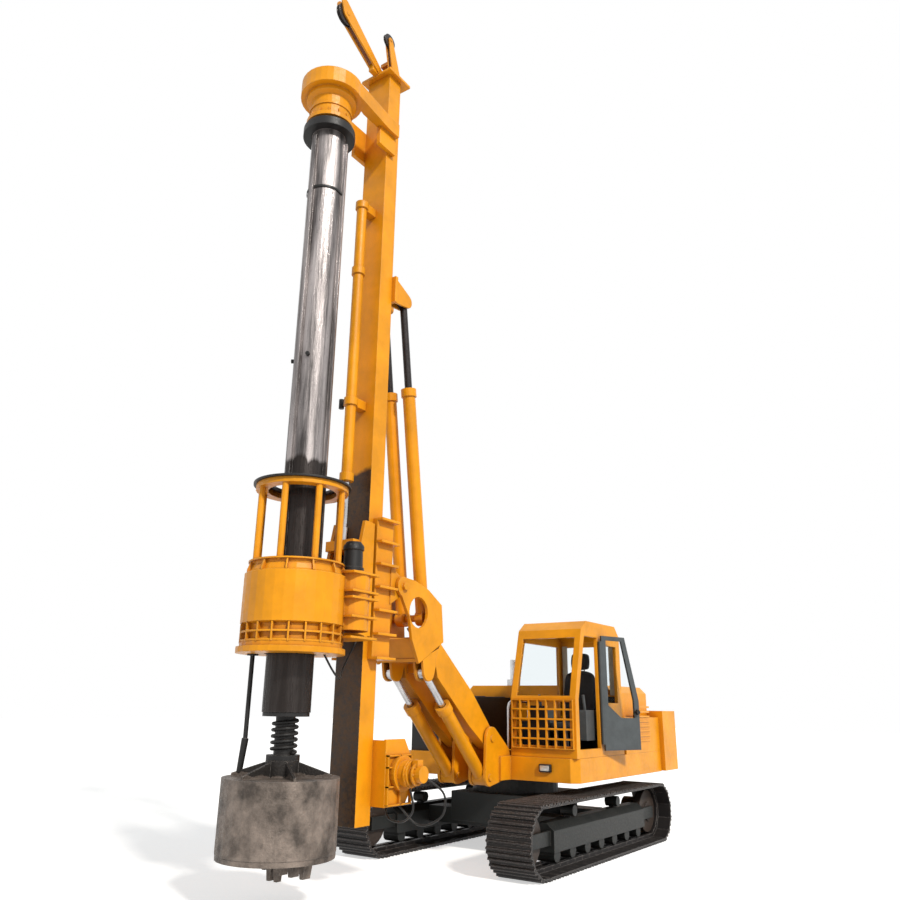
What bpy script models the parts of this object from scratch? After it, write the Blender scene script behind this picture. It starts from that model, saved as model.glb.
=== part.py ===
"""Rotary piling rig: a tracked carrier with a cab, a luffing boom, a raking mast, a rotary drive on a
crowd slide, a telescopic kelly bar and a drilling bucket. Metres, +Z up, -Y forward, +X the machine's left.

Every piece is drawn in the machine's own frame, whose slew axis is the line X = Y = 0 and whose ground is
Z = 0. The MACHINE empty then moves the whole rig so that the origin is the middle of its footprint.
Each body has an empty on its joint's axis, and a piece of that body has its own origin there too.
"""

import math

import bmesh
import bpy
from mathutils import Matrix, Vector

SEAT = 0.0003  # gap between two pieces that touch
RUN = 0.006  # gap between two pieces that turn or slide in each other

# Undercarriage
TRACK_GAUGE = 2.40
SHOE_WIDTH = 0.60
TRACK_LENGTH = 4.56
TRACK_HEIGHT = 0.82
TRACK_DEPTH = 0.11  # shoe and chain together
SHOE_COUNT = 48
SHOE_GROOVE = 0.025
FRAME_WIDTH = 0.34
FRAME_LENGTH = 2.90
FRAME_BOTTOM, FRAME_TOP = 0.24, 0.56
ROLLER_RADIUS = 0.085
ROLLER_COUNT = 7
CARRIER_RADIUS = 0.07
WHEEL_WIDTH = 0.16
YOKE_PLATE = 0.04
RING_RADIUS = 0.62

# Upper structure
DECK_BOTTOM, DECK_TOP = 0.97, 1.27
DECK_HALF_WIDTH = 1.41
DECK_FRONT = -0.84
TAIL_FRONT, TAIL_REACH = 2.20, 3.05  # the counterweight's two faces
TAIL_HALF_WIDTH = 1.48
TAIL_BOTTOM, TAIL_TOP = 0.98, 1.88
HOOD_FRONT = 0.82
HOOD_TOP = 2.24
HOOD_WALL = 0.03
SIDE_PANEL_TOP = 1.78

# Cab, on the machine's left
CAB_LEFT, CAB_WIDTH = 1.407, 0.995
CAB_FRONT, CAB_LENGTH = -0.82, 1.56
CAB_ROOF = 3.08
CAB_WALL = 0.05
GLASS = 0.008
CAB_SILL = 1.33
WINDOW_HEAD = 2.92
DOOR_HINGE_Y = -0.03
DOOR_THICKNESS = 0.03
DOOR_OPEN = math.radians(160)

# Boom: two arms and the head that carries the mast
BOOM_FOOT = (-1.27, 1.50)
ARM_INNER, ARM_OUTER = 0.17, 0.33
CHEEK = 0.04
EAR = 0.04
MAST_PIVOT = (-3.22, 3.28)
LUFF_FOOT = (-1.33, 1.02)
LUFF_EYE = (-2.66, 2.30)
RAKE_FOOT = (-2.60, 2.97)
RAKE_EYE = (-3.23, 7.20)
RAKE_HALF_GAUGE = 0.16
RAKE_FORK = 0.10
PIN = 0.045

# Mast
MAST_HALF_WIDTH = 0.20
MAST_FRONT, MAST_REAR = -3.78, -3.53
MAST_BOTTOM, MAST_TOP = 0.65, 10.68
MAST_WALL = 0.02
CRADLE_HALF_WIDTH = 0.35
CRADLE_FRONT, CRADLE_REAR = -3.70, -3.36
CRADLE_BOTTOM, CRADLE_TOP = 2.40, 4.05
WINCH_AXIS = (-3.27, 1.18)
WINCH_HALF_WIDTH = 0.36
DRUM_RADIUS, DRUM_FLANGE = 0.17, 0.23
SHEAVE_RADIUS, SHEAVE_WIDTH = 0.16, 0.06
AUX_SHEAVE_RADIUS = 0.11
AUX_X = 0.22
CROWD_Y = -4.00
CROWD_BARREL_RADIUS, CROWD_ROD_RADIUS = 0.068, 0.045
CROWD_GLAND, CROWD_HEAD = 4.46, 8.42

# Rotary drive, kelly bar and bucket, on one vertical line
KELLY_REACH = 4.71
HOUSING_BOTTOM, HOUSING_TOP, HOUSING_RADIUS = 2.46, 3.30, 0.55
SLEEVE_BORE, SLEEVE_OUTER, SLEEVE_FLANGE = 0.275, 0.33, 0.573
CAGE_TOP, CAGE_RADIUS, CAGE_POSTS = 4.22, 0.515, 8
SLEDGE_BOTTOM, SLEDGE_TOP = 2.64, 3.98
SLEDGE_PLATE = 0.05
CLAW = 0.05
OUTER_RADIUS, OUTER_BORE, KEY_RADIUS = 0.22, 0.19, 0.258
OUTER_BOTTOM = 1.82
INNER_RADIUS, STEM_RADIUS = 0.15, 0.10
GUIDE_BOTTOM, GUIDE_ARM, GUIDE_TOP = 9.13, 9.58, 9.80
GUIDE_RADIUS = 0.27
BUCKET_RADIUS, BUCKET_WALL = 0.59, 0.025
BUCKET_BOTTOM, BUCKET_TOP, SOCKET_TOP = 0.52, 1.20, 1.36
FLAP = 0.05
TOOTH_TIP = 0.26

KELLY_Y = -KELLY_REACH
DOOR_HINGE_X = CAB_LEFT + SEAT + DOOR_THICKNESS
DOOR_FRONT = CAB_FRONT + 0.07
DOOR_REACH = DOOR_HINGE_X - DOOR_THICKNESS * math.cos(DOOR_OPEN) + (DOOR_HINGE_Y - DOOR_FRONT) * math.sin(DOOR_OPEN)
SLEW_X = (TRACK_GAUGE / 2 + SHOE_WIDTH / 2 - DOOR_REACH) / 2  # the open door counts in the footprint
SLEW_Y = (KELLY_REACH + BUCKET_RADIUS - TAIL_REACH) / 2

ORANGE = ("orange_paint", (0.85, 0.36, 0.03), 0.0, 0.45)
BLACK = ("black_steel", (0.03, 0.03, 0.03), 0.3, 0.6)
TRACK_STEEL = ("track_steel", (0.05, 0.045, 0.04), 0.7, 0.5)
WORN_STEEL = ("worn_steel", (0.35, 0.30, 0.25), 0.8, 0.5)
CHROME = ("chrome", (0.8, 0.8, 0.8), 1.0, 0.15)
GREY = ("grey_paint", (0.25, 0.26, 0.27), 0.1, 0.5)
GLAZING = ("glazing", (0.25, 0.32, 0.35), 0.0, 0.1)
CUSHION = ("cushion", (0.02, 0.02, 0.02), 0.0, 0.8)


# ---------------------------------------------------------------- tools


def clear_scene():
    for obj in list(bpy.data.objects):
        bpy.data.objects.remove(obj)
    collection = bpy.data.collections.new("piling_rig")
    bpy.context.scene.collection.children.link(collection)
    return collection


RIG = clear_scene()
BODIES = {}


def material(name, color, metallic, roughness):
    found = bpy.data.materials.get(name)
    if found:
        return found
    made = bpy.data.materials.new(name)
    made.use_nodes = True
    shader = made.node_tree.nodes["Principled BSDF"]
    shader.inputs["Base Color"].default_value = (*color, 1.0)
    shader.inputs["Metallic"].default_value = metallic
    shader.inputs["Roughness"].default_value = roughness
    return made


def object_of(name, data):
    obj = bpy.data.objects.new(name, data)
    RIG.objects.link(obj)
    return obj


def mesh_of(name, shape):
    mesh = bpy.data.meshes.new(name)
    shape.to_mesh(mesh)
    shape.free()
    return object_of(name, mesh)


def baked(obj, weld=0.0):
    """The object with its modifiers or its curve turned into a plain mesh in the machine's frame."""
    graph = bpy.context.evaluated_depsgraph_get()
    mesh = bpy.data.meshes.new_from_object(obj.evaluated_get(graph))
    shape = bmesh.new()
    shape.from_mesh(mesh)
    shape.transform(obj.matrix_world)
    if weld:
        bmesh.ops.remove_doubles(shape, verts=shape.verts, dist=weld)
    name = obj.name
    bpy.data.objects.remove(obj)
    return mesh_of(name, shape)


def box(name, x, y, z):
    """A box between the (low, high) pairs of each axis."""
    size = [high - low for low, high in (x, y, z)]
    centre = [(high + low) / 2 for low, high in (x, y, z)]
    shape = bmesh.new()
    bmesh.ops.create_cube(shape, matrix=Matrix.LocRotScale(centre, None, size))
    return mesh_of(name, shape)


def rod(name, start, end, radius, sides=20):
    """A round bar from start to end."""
    start, end = Vector(start), Vector(end)
    along = end - start
    turn = along.to_track_quat("Z", "Y").to_matrix().to_4x4()
    shape = bmesh.new()
    bmesh.ops.create_cone(
        shape, cap_ends=True, segments=sides, radius1=radius, radius2=radius, depth=along.length,
        matrix=Matrix.Translation((start + end) / 2) @ turn,
    )
    return mesh_of(name, shape)


def across(name, at, radius, low, high, sides=20):
    """A round bar along X through the point (y, z)."""
    return rod(name, (low, *at), (high, *at), radius, sides)


AXIS_TURNS = {
    "X": Matrix(((0, 0, 1), (1, 0, 0), (0, 1, 0))).to_4x4(),
    "Y": Matrix(((1, 0, 0), (0, 0, -1), (0, 1, 0))).to_4x4(),
    "Z": Matrix.Identity(4),
}


def plate(name, outlines, low, high, axis="X"):
    """A flat outline with the holes that follow it, between low and high along the axis across it."""
    curve = bpy.data.curves.new(name, "CURVE")
    curve.dimensions = "2D"
    curve.fill_mode = "BOTH"
    curve.extrude = (high - low) / 2
    for outline in outlines:
        spline = curve.splines.new("POLY")
        spline.points.add(len(outline) - 1)
        for point, (u, v) in zip(spline.points, outline):
            point.co = (u, v, 0, 1)
        spline.use_cyclic_u = True
    obj = object_of(name, curve)
    place = [0, 0, 0]
    place["XYZ".index(axis)] = (low + high) / 2
    obj.matrix_world = Matrix.Translation(place) @ AXIS_TURNS[axis]
    bpy.context.view_layer.update()
    return baked(obj, 1e-5)


def turned(name, profile, at, steps=32, ring=True):
    """A shape turned about the vertical line at (x, y). The (radius, z) profile runs down its outer side."""
    shape = bmesh.new()
    points = [shape.verts.new((radius, 0, z)) for radius, z in profile]
    for first, second in zip(points, points[1:] + points[:1] if ring else points[1:]):
        shape.edges.new((first, second))
    obj = mesh_of(name, shape)
    obj.location = (*at, 0)
    screw = obj.modifiers.new("turn", "SCREW")
    screw.steps = screw.render_steps = steps
    screw.use_merge_vertices = True
    screw.merge_threshold = 0.0001
    bpy.context.view_layer.update()
    return baked(obj, 1e-5)


def tube(name, points, radius):
    """A bent round bar through the points, with closed ends."""
    curve = bpy.data.curves.new(name, "CURVE")
    curve.dimensions = "3D"
    curve.bevel_depth = radius
    curve.bevel_resolution = 2
    curve.use_fill_caps = True
    spline = curve.splines.new("POLY")
    spline.points.add(len(points) - 1)
    for point, place in zip(spline.points, points):
        point.co = (*place, 1)
    obj = object_of(name, curve)
    bpy.context.view_layer.update()
    return baked(obj, 1e-5)


def combine(base, pieces, operation="UNION", solver="EXACT"):
    """The base joined with the pieces, or cut by them. MANIFOLD is for the joins that EXACT leaves open."""
    name = base.name
    for piece in pieces:
        step = base.modifiers.new(piece.name, "BOOLEAN")
        step.operation = operation
        step.solver = solver
        step.object = piece
    bpy.context.view_layer.update()
    made = baked(base)
    for piece in pieces:
        bpy.data.objects.remove(piece)
    made.name = name
    return made


def cut(base, pieces):
    return combine(base, pieces, "DIFFERENCE")


def circle(at, radius, count=20):
    steps = [2 * math.pi * i / count for i in range(count)]
    return [(at[0] + radius * math.cos(a), at[1] + radius * math.sin(a)) for a in steps]


def arc(at, radius, start, end, count=12):
    """Points on a circle from one angle to another, in degrees."""
    steps = [math.radians(start + (end - start) * i / count) for i in range(count + 1)]
    return [(at[0] + radius * math.cos(a), at[1] + radius * math.sin(a)) for a in steps]


def hull(points):
    """The outline of a band stretched round the points."""
    points = sorted(set((round(u, 6), round(v, 6)) for u, v in points))

    def chain(ordered):
        kept = []
        for p in ordered:
            while len(kept) > 1:
                (au, av), (bu, bv) = kept[-2:]
                if (bu - au) * (p[1] - av) - (bv - av) * (p[0] - au) > 0:
                    break
                kept.pop()
            kept.append(p)
        return kept[:-1]

    return chain(points) + chain(points[::-1])


def toward(start, end, distance):
    """The (y, z) point at the distance from start on the line to end."""
    length = math.dist(start, end)
    return tuple(a + (b - a) * distance / length for a, b in zip(start, end))


def bore_for(radius, sides=20):
    """The radius of a many-sided hole that a pin of this radius turns in."""
    return radius / math.cos(math.pi / sides) + SEAT


def body(name, parent, at):
    """The empty on a body's joint axis, at a point of the machine's frame."""
    empty = object_of(f"{name}_axis", None)
    empty.empty_display_size = 0.3
    if parent:
        empty.parent = BODIES[parent][0]
        empty.location = Vector(at) - BODIES[parent][1]
    else:
        empty.location = at
    BODIES[name] = (empty, Vector(at) if parent else Vector())


def give(body_name, name, obj, look):
    """Names a finished piece, moves its origin to its body's axis and paints it."""
    empty, pivot = BODIES[body_name]
    obj.name = obj.data.name = name
    obj.data.transform(Matrix.Translation(-pivot))
    obj.parent = empty
    obj.data.materials.clear()
    obj.data.materials.append(material(*look))
    obj.data.shade_smooth()
    obj.data.set_sharp_from_angle(angle=math.radians(30))


# ---------------------------------------------------------------- undercarriage


def on_track(along, depth):
    """The (y, z) point of the track's side view, along its outer face from the ground's middle."""
    half = (TRACK_LENGTH - TRACK_HEIGHT) / 2
    radius = TRACK_HEIGHT / 2
    bend = math.pi * radius
    along = (along + half) % (4 * half + 2 * bend)
    if along < 2 * half:
        return along - half, depth
    along -= 2 * half
    if along < bend:
        angle = along / radius
        return half + (radius - depth) * math.sin(angle), radius - (radius - depth) * math.cos(angle)
    along -= bend
    if along < 2 * half:
        return half - along, TRACK_HEIGHT - depth
    angle = (along - 2 * half) / radius
    return -half - (radius - depth) * math.sin(angle), radius + (radius - depth) * math.cos(angle)


def track_loop(side):
    """One closed loop: each shoe is a step of the outline, with a groove between it and the next."""
    perimeter = 2 * (TRACK_LENGTH - TRACK_HEIGHT) + math.pi * TRACK_HEIGHT
    pitch = perimeter / SHOE_COUNT
    outer, inner = [], []
    for shoe in range(SHOE_COUNT):
        middle = shoe * pitch
        for step, depth in ((-0.46, SHOE_GROOVE), (-0.44, 0), (0.44, 0), (0.46, SHOE_GROOVE)):
            outer.append(on_track(middle + step * pitch, depth))
        inner.append(on_track(middle, TRACK_DEPTH))
        inner.append(on_track(middle + pitch / 2, TRACK_DEPTH))
    centre = side * TRACK_GAUGE / 2
    return plate("track", [outer, inner], centre - SHOE_WIDTH / 2, centre + SHOE_WIDTH / 2)


def wheel_radius():
    """The largest round wheel inside the many-sided bend of the track."""
    pitch = (2 * (TRACK_LENGTH - TRACK_HEIGHT) + math.pi * TRACK_HEIGHT) / SHOE_COUNT
    bend_step = pitch / 2 / (TRACK_HEIGHT / 2)
    return (TRACK_HEIGHT / 2 - TRACK_DEPTH) * math.cos(bend_step / 2) - SEAT


def end_wheel(name, side, y, toothed):
    """The idler or the sprocket, with a hub that reaches the yoke on each side."""
    centre = side * TRACK_GAUGE / 2
    at = (y, TRACK_HEIGHT / 2)
    half = WHEEL_WIDTH / 2
    rim = across(name, at, wheel_radius(), centre - half * 0.7, centre + half * 0.7, 32)
    hub = across("hub", at, 0.14 if toothed else 0.11, centre - half, centre + half)
    return combine(rim, [hub])


def track_frame(side):
    """The box beam between the runs, with its rollers, the yokes of both end wheels and the final drive."""
    centre = side * TRACK_GAUGE / 2
    half = FRAME_WIDTH / 2
    ends = FRAME_LENGTH / 2
    wheel_y = (TRACK_LENGTH - TRACK_HEIGHT) / 2
    middle = TRACK_HEIGHT / 2
    section = [(-half, FRAME_BOTTOM), (half, FRAME_BOTTOM), (half, FRAME_TOP - 0.08),
               (half - 0.1, FRAME_TOP),
               (0.1 - half, FRAME_TOP), (-half, FRAME_TOP - 0.08)]
    beam = plate("beam", [[(centre + u, v) for u, v in section]], -ends, ends, "Y")
    added = []
    roller_z = TRACK_DEPTH + SEAT + ROLLER_RADIUS
    for i in range(ROLLER_COUNT):
        y = (ends - 0.15) * (2 * i / (ROLLER_COUNT - 1) - 1)
        added.append(across("roller", (y, roller_z), ROLLER_RADIUS, centre - 0.13, centre + 0.13, 12))
    carrier_z = TRACK_HEIGHT - TRACK_DEPTH - SEAT - CARRIER_RADIUS
    for y in (-0.7, 0.7):
        added.append(across("carrier", (y, carrier_z), CARRIER_RADIUS, centre - 0.09, centre + 0.09,
                            12))
        added.append(box("post", (centre - 0.04, centre + 0.04), (y - 0.04, y + 0.04),
                         (FRAME_TOP - 0.05, carrier_z)))
    inner = WHEEL_WIDTH / 2 + SEAT
    for x in (centre - inner - YOKE_PLATE, centre + inner):
        for end in (-1, 1):
            reach = sorted((end * (ends - 0.05), end * (wheel_y + 0.07)))
            added.append(box("yoke", (x, x + YOKE_PLATE), reach, (middle - 0.09, middle + 0.07)))
    drive = sorted((side * (TRACK_GAUGE / 2 - inner), side * (TRACK_GAUGE / 2 - inner - 0.22)))
    added.append(across("final_drive", (wheel_y, middle), 0.19, *drive))
    return combine(beam, added)


def car_body():
    """The centre frame: a box under the slew ring and two legs to each track frame."""
    reach = TRACK_GAUGE / 2 - FRAME_WIDTH / 2 - SEAT
    centre = box("car_body", (-0.62, 0.62), (-0.75, 0.75), (0.38, 0.76))
    added = [rod("ring", (0, 0, 0.60), (0, 0, DECK_BOTTOM - SEAT), RING_RADIUS, 32)]
    for y in (-0.55, 0.55):
        added.append(box("legs", (-reach, reach), (y - 0.17, y + 0.17), (0.33, 0.54)))
    return combine(centre, added)


def undercarriage():
    give("undercarriage", "car_body", car_body(), BLACK)
    wheel_y = (TRACK_LENGTH - TRACK_HEIGHT) / 2
    for word, side in (("left", 1), ("right", -1)):
        give("undercarriage", f"track_frame_{word}", track_frame(side), BLACK)
        give("undercarriage", f"track_{word}", track_loop(side), TRACK_STEEL)
        give("undercarriage", f"idler_{word}", end_wheel("idler", side, -wheel_y, False), BLACK)
        give("undercarriage", f"sprocket_{word}", end_wheel("sprocket", side, wheel_y, True),
             TRACK_STEEL)


# ---------------------------------------------------------------- upper structure


def turntable():
    """The deck plate on the slew ring, with four ears in front that hold the boom and its cylinders."""
    half, nose = DECK_HALF_WIDTH, ARM_OUTER + 0.015 + EAR + 0.03
    outline = [(-half + 0.1, DECK_FRONT), (-nose, DECK_FRONT), (-nose, DECK_FRONT - 0.26),
               (nose, DECK_FRONT - 0.26),
               (nose, DECK_FRONT), (half - 0.1, DECK_FRONT), (half, DECK_FRONT + 0.1), (half,
                                                                                        TAIL_FRONT - SEAT),
               (-half, TAIL_FRONT - SEAT), (-half, DECK_FRONT + 0.1)]
    deck = plate("deck", [outline], DECK_BOTTOM, DECK_TOP, "Z")
    side_view = hull(circle(BOOM_FOOT, 0.15) + circle(LUFF_FOOT, 0.11) + [(-0.70, DECK_TOP - 0.01),
                                                                          (-0.80, DECK_BOTTOM + 0.03)])
    added = []
    for side in (-1, 1):
        for x in (ARM_INNER - 0.015 - EAR, ARM_OUTER + 0.015):
            low, high = sorted((side * x, side * (x + EAR)))
            added.append(plate("ear", [side_view], low, high))
        low, high = sorted((side * (ARM_INNER - 0.07), side * (ARM_OUTER + 0.07)))
        added.append(across("boom_pin", BOOM_FOOT, PIN, low, high))
        added.append(across("luff_pin", LUFF_FOOT, PIN, low, high))
    return combine(deck, added, solver="MANIFOLD")


def counterweight():
    """A heavy cast block with bevelled rear corners, hung on the deck's rear face."""
    half = TAIL_HALF_WIDTH
    outline = [(-half, TAIL_FRONT), (half, TAIL_FRONT), (half, TAIL_REACH - 0.28),
               (half - 0.30, TAIL_REACH - 0.04),
               (half - 0.55, TAIL_REACH), (0.55 - half, TAIL_REACH), (0.30 - half, TAIL_REACH - 0.04),
               (-half, TAIL_REACH - 0.28)]
    block = plate("counterweight", [outline], TAIL_BOTTOM, TAIL_TOP, "Z")
    return block


def hood_section(inset):
    """The engine hood's front view, drawn in by the inset."""
    right, left = -1.38 + inset, 1.22 - inset
    top = HOOD_TOP - inset
    panel = DECK_HALF_WIDTH - inset
    return [(right, DECK_TOP + SEAT), (panel, DECK_TOP + SEAT), (panel, SIDE_PANEL_TOP - inset),
            (left, SIDE_PANEL_TOP - inset),
            (left, top - 0.1), (left - 0.1, top), (right + 0.1, top), (right, top - 0.1)]


def engine_hood():
    """A sheet hood over the engine, open underneath."""
    hood = plate("hood", [hood_section(0)], HOOD_FRONT, TAIL_FRONT - SEAT, "Y")
    inside = [(u, v if v > DECK_TOP + 0.1 else v - 0.1) for u, v in hood_section(HOOD_WALL)]
    return cut(hood, [plate("inside", [inside], HOOD_FRONT + HOOD_WALL, TAIL_FRONT - HOOD_WALL, "Y")])


def exhaust():
    """A round silencer box on the hood with an upright pipe."""
    base = HOOD_TOP + SEAT
    pipe = rod("exhaust", (-0.62, 1.05, base), (-0.62, 1.05, base + 0.42), 0.055, 24)
    return combine(pipe, [rod("collar", (-0.62, 1.05, base), (-0.62, 1.05, base + 0.10), 0.11, 24)])


def handrail():
    """A bent tube rail on the deck's front edge, on the right of the cab."""
    x = CAB_LEFT - CAB_WIDTH - 0.10
    foot, top = DECK_TOP + SEAT, 1.98
    front, rear = DECK_FRONT + 0.12, DECK_FRONT + 0.70
    bend = 0.08
    points = [(x, front, foot), (x, front, top - bend), (x, front + 0.3 * bend, top - 0.3 * bend),
              (x, front + bend, top),
              (x, rear - bend, top), (x, rear - 0.3 * bend, top - 0.3 * bend), (x, rear,
                                                                                top - bend), (x, rear,
                                                                                              foot)]
    return tube("handrail", points, 0.018)


def upper():
    give("upper", "turntable", turntable(), ORANGE)
    give("upper", "counterweight", counterweight(), ORANGE)
    give("upper", "engine_hood", engine_hood(), ORANGE)
    floor = DECK_TOP + SEAT
    give("upper", "engine_block", box("engine", (-0.60, 0.60), (1.00, 1.90), (floor, 1.95)), BLACK)
    give("upper", "fuel_tank", box("tank", (-1.38, -0.55), (-0.20, HOOD_FRONT - SEAT), (floor, 2.05)),
         ORANGE)
    give("upper", "tool_box", box("box", (-1.38, -0.55), (DECK_FRONT + 0.12, -0.20 - SEAT),
                                  (floor, 1.72)), ORANGE)
    give("upper", "exhaust", exhaust(), CHROME)
    give("upper", "handrail", handrail(), GREY)


# ---------------------------------------------------------------- cab


def cab_profile(inset):
    """The cab's side view, drawn in by the inset. The windscreen leans back above the grille guard."""
    front, rear = CAB_FRONT + inset, CAB_FRONT + CAB_LENGTH - inset
    top = CAB_ROOF - inset
    return [(front, DECK_TOP + SEAT), (rear, DECK_TOP + SEAT), (rear, top - 0.15), (rear - 0.15, top),
            (front + 0.42, top),
            (front + 0.25, top - 0.12), (front, 2.02)]


def windscreen_plane(z):
    """The Y of the windscreen's outer face at a height above the guard."""
    return CAB_FRONT + 0.25 * (z - 2.02) / (CAB_ROOF - 0.12 - 2.02)


def door_outline(inset=0.0):
    """The door's side view: its front edge follows the windscreen's pillar."""
    rear, front = DOOR_HINGE_Y - 0.005 - inset, DOOR_FRONT + inset
    low, high = CAB_SILL + 0.02 + inset, WINDOW_HEAD - 0.02 - inset
    return [(rear, low), (rear, high), (front + 0.24, high), (front, 2.02), (front, low)]


SIDE_WINDOW = ((0.08, 1.98), (0.60, 1.98), (0.60, 2.78), (0.08, 2.78))


def glass_in(outline):
    """The pane that fills an opening, with its seat all round."""
    u = [p[0] for p in outline]
    v = [p[1] for p in outline]
    mid = ((min(u) + max(u)) / 2, (min(v) + max(v)) / 2)
    return [(a + math.copysign(SEAT, mid[0] - a), b + math.copysign(SEAT, mid[1] - b)) for a,
            b in outline]


def right_window():
    rear, front = CAB_FRONT + CAB_LENGTH - 0.14, CAB_FRONT + 0.12
    return [(front, 1.75), (rear, 1.75), (rear, 2.80), (front + 0.22, 2.80), (front, 2.02)]


def cab_shell():
    """The hollow cab: the side view as a block, hollowed from below, with its door opening and windows cut."""
    left, right = CAB_LEFT, CAB_LEFT - CAB_WIDTH
    shell = plate("cab", [cab_profile(0)], right, left)
    inside = [(u, v if v > DECK_TOP + 0.1 else v - 0.1) for u, v in cab_profile(CAB_WALL)]
    cutters = [plate("inside", [inside], right + CAB_WALL, left - CAB_WALL)]
    cutters.append(plate("doorway", [door_outline(0.03)], left - 2 * CAB_WALL, left + CAB_WALL))
    cutters.append(plate("side_window", [SIDE_WINDOW], left - 2 * CAB_WALL, left + CAB_WALL))
    cutters.append(plate("right_window", [right_window()], right - CAB_WALL, right + 2 * CAB_WALL))
    cutters.append(box("windscreen", (right + 0.09, left - 0.09), (CAB_FRONT - 0.1, CAB_FRONT + 0.40),
                       (2.06, 2.84)))
    cutters.append(box("lower_window", (right + 0.09, left - 0.09), (CAB_FRONT - 0.1, CAB_FRONT + 0.1),
                       (1.42, 1.98)))
    rear = CAB_FRONT + CAB_LENGTH
    cutters.append(box("rear_window", (right + 0.12, left - 0.12), (rear - 0.1, rear + 0.1),
                       (2.10, 2.80)))
    return cut(shell, cutters)


def windscreen():
    """The leaning front pane, inside the front opening."""
    low, high = 2.06 + SEAT, 2.84 - SEAT
    middle = CAB_WALL / 2
    outline = [(windscreen_plane(low) + middle, low), (windscreen_plane(low) + middle + GLASS, low),
               (windscreen_plane(high) + middle + GLASS, high), (windscreen_plane(high) + middle, high)]
    right = CAB_LEFT - CAB_WIDTH + 0.09 + SEAT
    return plate("windscreen", [outline], right, CAB_LEFT - 0.09 - SEAT)


def guard_grille():
    """The bar guard in front of the cab's lower window: a frame, upright bars and cross bars."""
    left, right = CAB_LEFT - 0.03, CAB_LEFT - CAB_WIDTH + 0.03
    rear, front = CAB_FRONT - SEAT, CAB_FRONT - 0.035
    low, high = 1.38, 2.01
    bar = 0.012
    columns, rows = 7, 5
    holes = []
    for column in range(columns):
        for row in range(rows):
            x = [right + (left - right) * (column + i) / columns + (bar, -bar)[i] for i in (0, 1)]
            z = [low + (high - low) * (row + i) / rows + (bar, -bar)[i] for i in (0, 1)]
            holes.append([(x[0], z[0]), (x[1], z[0]), (x[1], z[1]), (x[0], z[1])])
    frame = [(right, low), (left, low), (left, high), (right, high)]
    return plate("guard", [frame, *holes], front, rear, "Y")


def seat():
    """The operator's seat: a pedestal, a cushion and a high back with a head rest."""
    x = CAB_LEFT - CAB_WIDTH / 2
    floor = DECK_TOP + SEAT
    pedestal = box("seat", (x - 0.16, x + 0.16), (-0.10, 0.25), (floor, 1.66))
    cushion = box("cushion", (x - 0.25, x + 0.25), (-0.25, 0.33), (1.62, 1.78))
    back = plate("back", [[(0.22, 1.72), (0.36, 1.72), (0.50, 2.50), (0.40, 2.52), (0.36, 2.36)]],
                 x - 0.24, x + 0.24)
    rest = plate("rest", [[(0.37, 2.42), (0.50, 2.42), (0.53, 2.68), (0.43, 2.70)]], x - 0.14, x + 0.14)
    return combine(pedestal, [cushion, back, rest])


def console():
    """The two armrest consoles on one base behind the seat, each with a control lever."""
    x = CAB_LEFT - CAB_WIDTH / 2
    floor = DECK_TOP + SEAT
    base = box("console", (x - 0.40, x + 0.40), (0.40, 0.58), (floor, 1.60))
    added = []
    for side in (-1, 1):
        low, high = sorted((x + side * 0.29, x + side * 0.40))
        added.append(box("arm", (low, high), (-0.30, 0.50), (1.48, 1.60)))
        added.append(box("rest", (low, high), (-0.30, 0.10), (1.55, 1.88)))
        added.append(rod("lever", (x + side * 0.345, -0.20, 1.80), (x + side * 0.345, -0.26, 2.08),
                         0.02, 12))
    return combine(base, added)


def door_leaf():
    leaf = plate("door", [door_outline()], CAB_LEFT + SEAT, CAB_LEFT + SEAT + DOOR_THICKNESS)
    window = plate("window", [door_window()], CAB_LEFT - 0.1, CAB_LEFT + 0.1)
    foot, top = CAB_SILL + 0.1, WINDOW_HEAD - 0.1
    hinge = rod("hinge", (DOOR_HINGE_X, DOOR_HINGE_Y, foot), (DOOR_HINGE_X, DOOR_HINGE_Y, top),
                DOOR_THICKNESS, 16)
    return combine(cut(leaf, [window]), [hinge])


def door_window():
    rear, front = DOOR_HINGE_Y - 0.09, CAB_FRONT + 0.14
    return [(rear, 1.95), (rear, 2.84), (front + 0.24, 2.84), (front + 0.03, 2.02),
            (front + 0.03, 1.78), (rear - 0.25, 1.78)]


def swing_door(obj):
    """The closed door turned open about its hinge."""
    hinge = Vector((DOOR_HINGE_X, DOOR_HINGE_Y, 0))
    turn = Matrix.Rotation(DOOR_OPEN, 4, "Z")
    obj.data.transform(Matrix.Translation(hinge) @ turn @ Matrix.Translation(-hinge))
    return obj


def cab():
    left, right = CAB_LEFT, CAB_LEFT - CAB_WIDTH
    rear = CAB_FRONT + CAB_LENGTH
    give("upper", "cab_frame", cab_shell(), ORANGE)
    give("upper", "windscreen", windscreen(), GLAZING)
    pane = glass_in(right_window())
    give("upper", "right_window", plate("pane", [pane], right + 0.02, right + 0.02 + GLASS), GLAZING)
    pane = glass_in(SIDE_WINDOW)
    give("upper", "side_window", plate("pane", [pane], left - 0.03, left - 0.03 + GLASS), GLAZING)
    pane = box("pane", (right + 0.12 + SEAT, left - 0.12 - SEAT), (rear - 0.03, rear - 0.03 + GLASS),
               (2.10 + SEAT, 2.80 - SEAT))
    give("upper", "rear_window", pane, GLAZING)
    give("upper", "cab_guard", guard_grille(), ORANGE)
    give("upper", "seat", seat(), CUSHION)
    give("upper", "console", console(), BLACK)
    give("cab_door", "door_frame", swing_door(door_leaf()), GREY)
    pane = glass_in(door_window())
    pane = plate("pane", [pane], CAB_LEFT + 0.011, CAB_LEFT + 0.011 + GLASS)
    give("cab_door", "door_glass", swing_door(pane), GLAZING)


# ---------------------------------------------------------------- boom and cylinders


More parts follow.
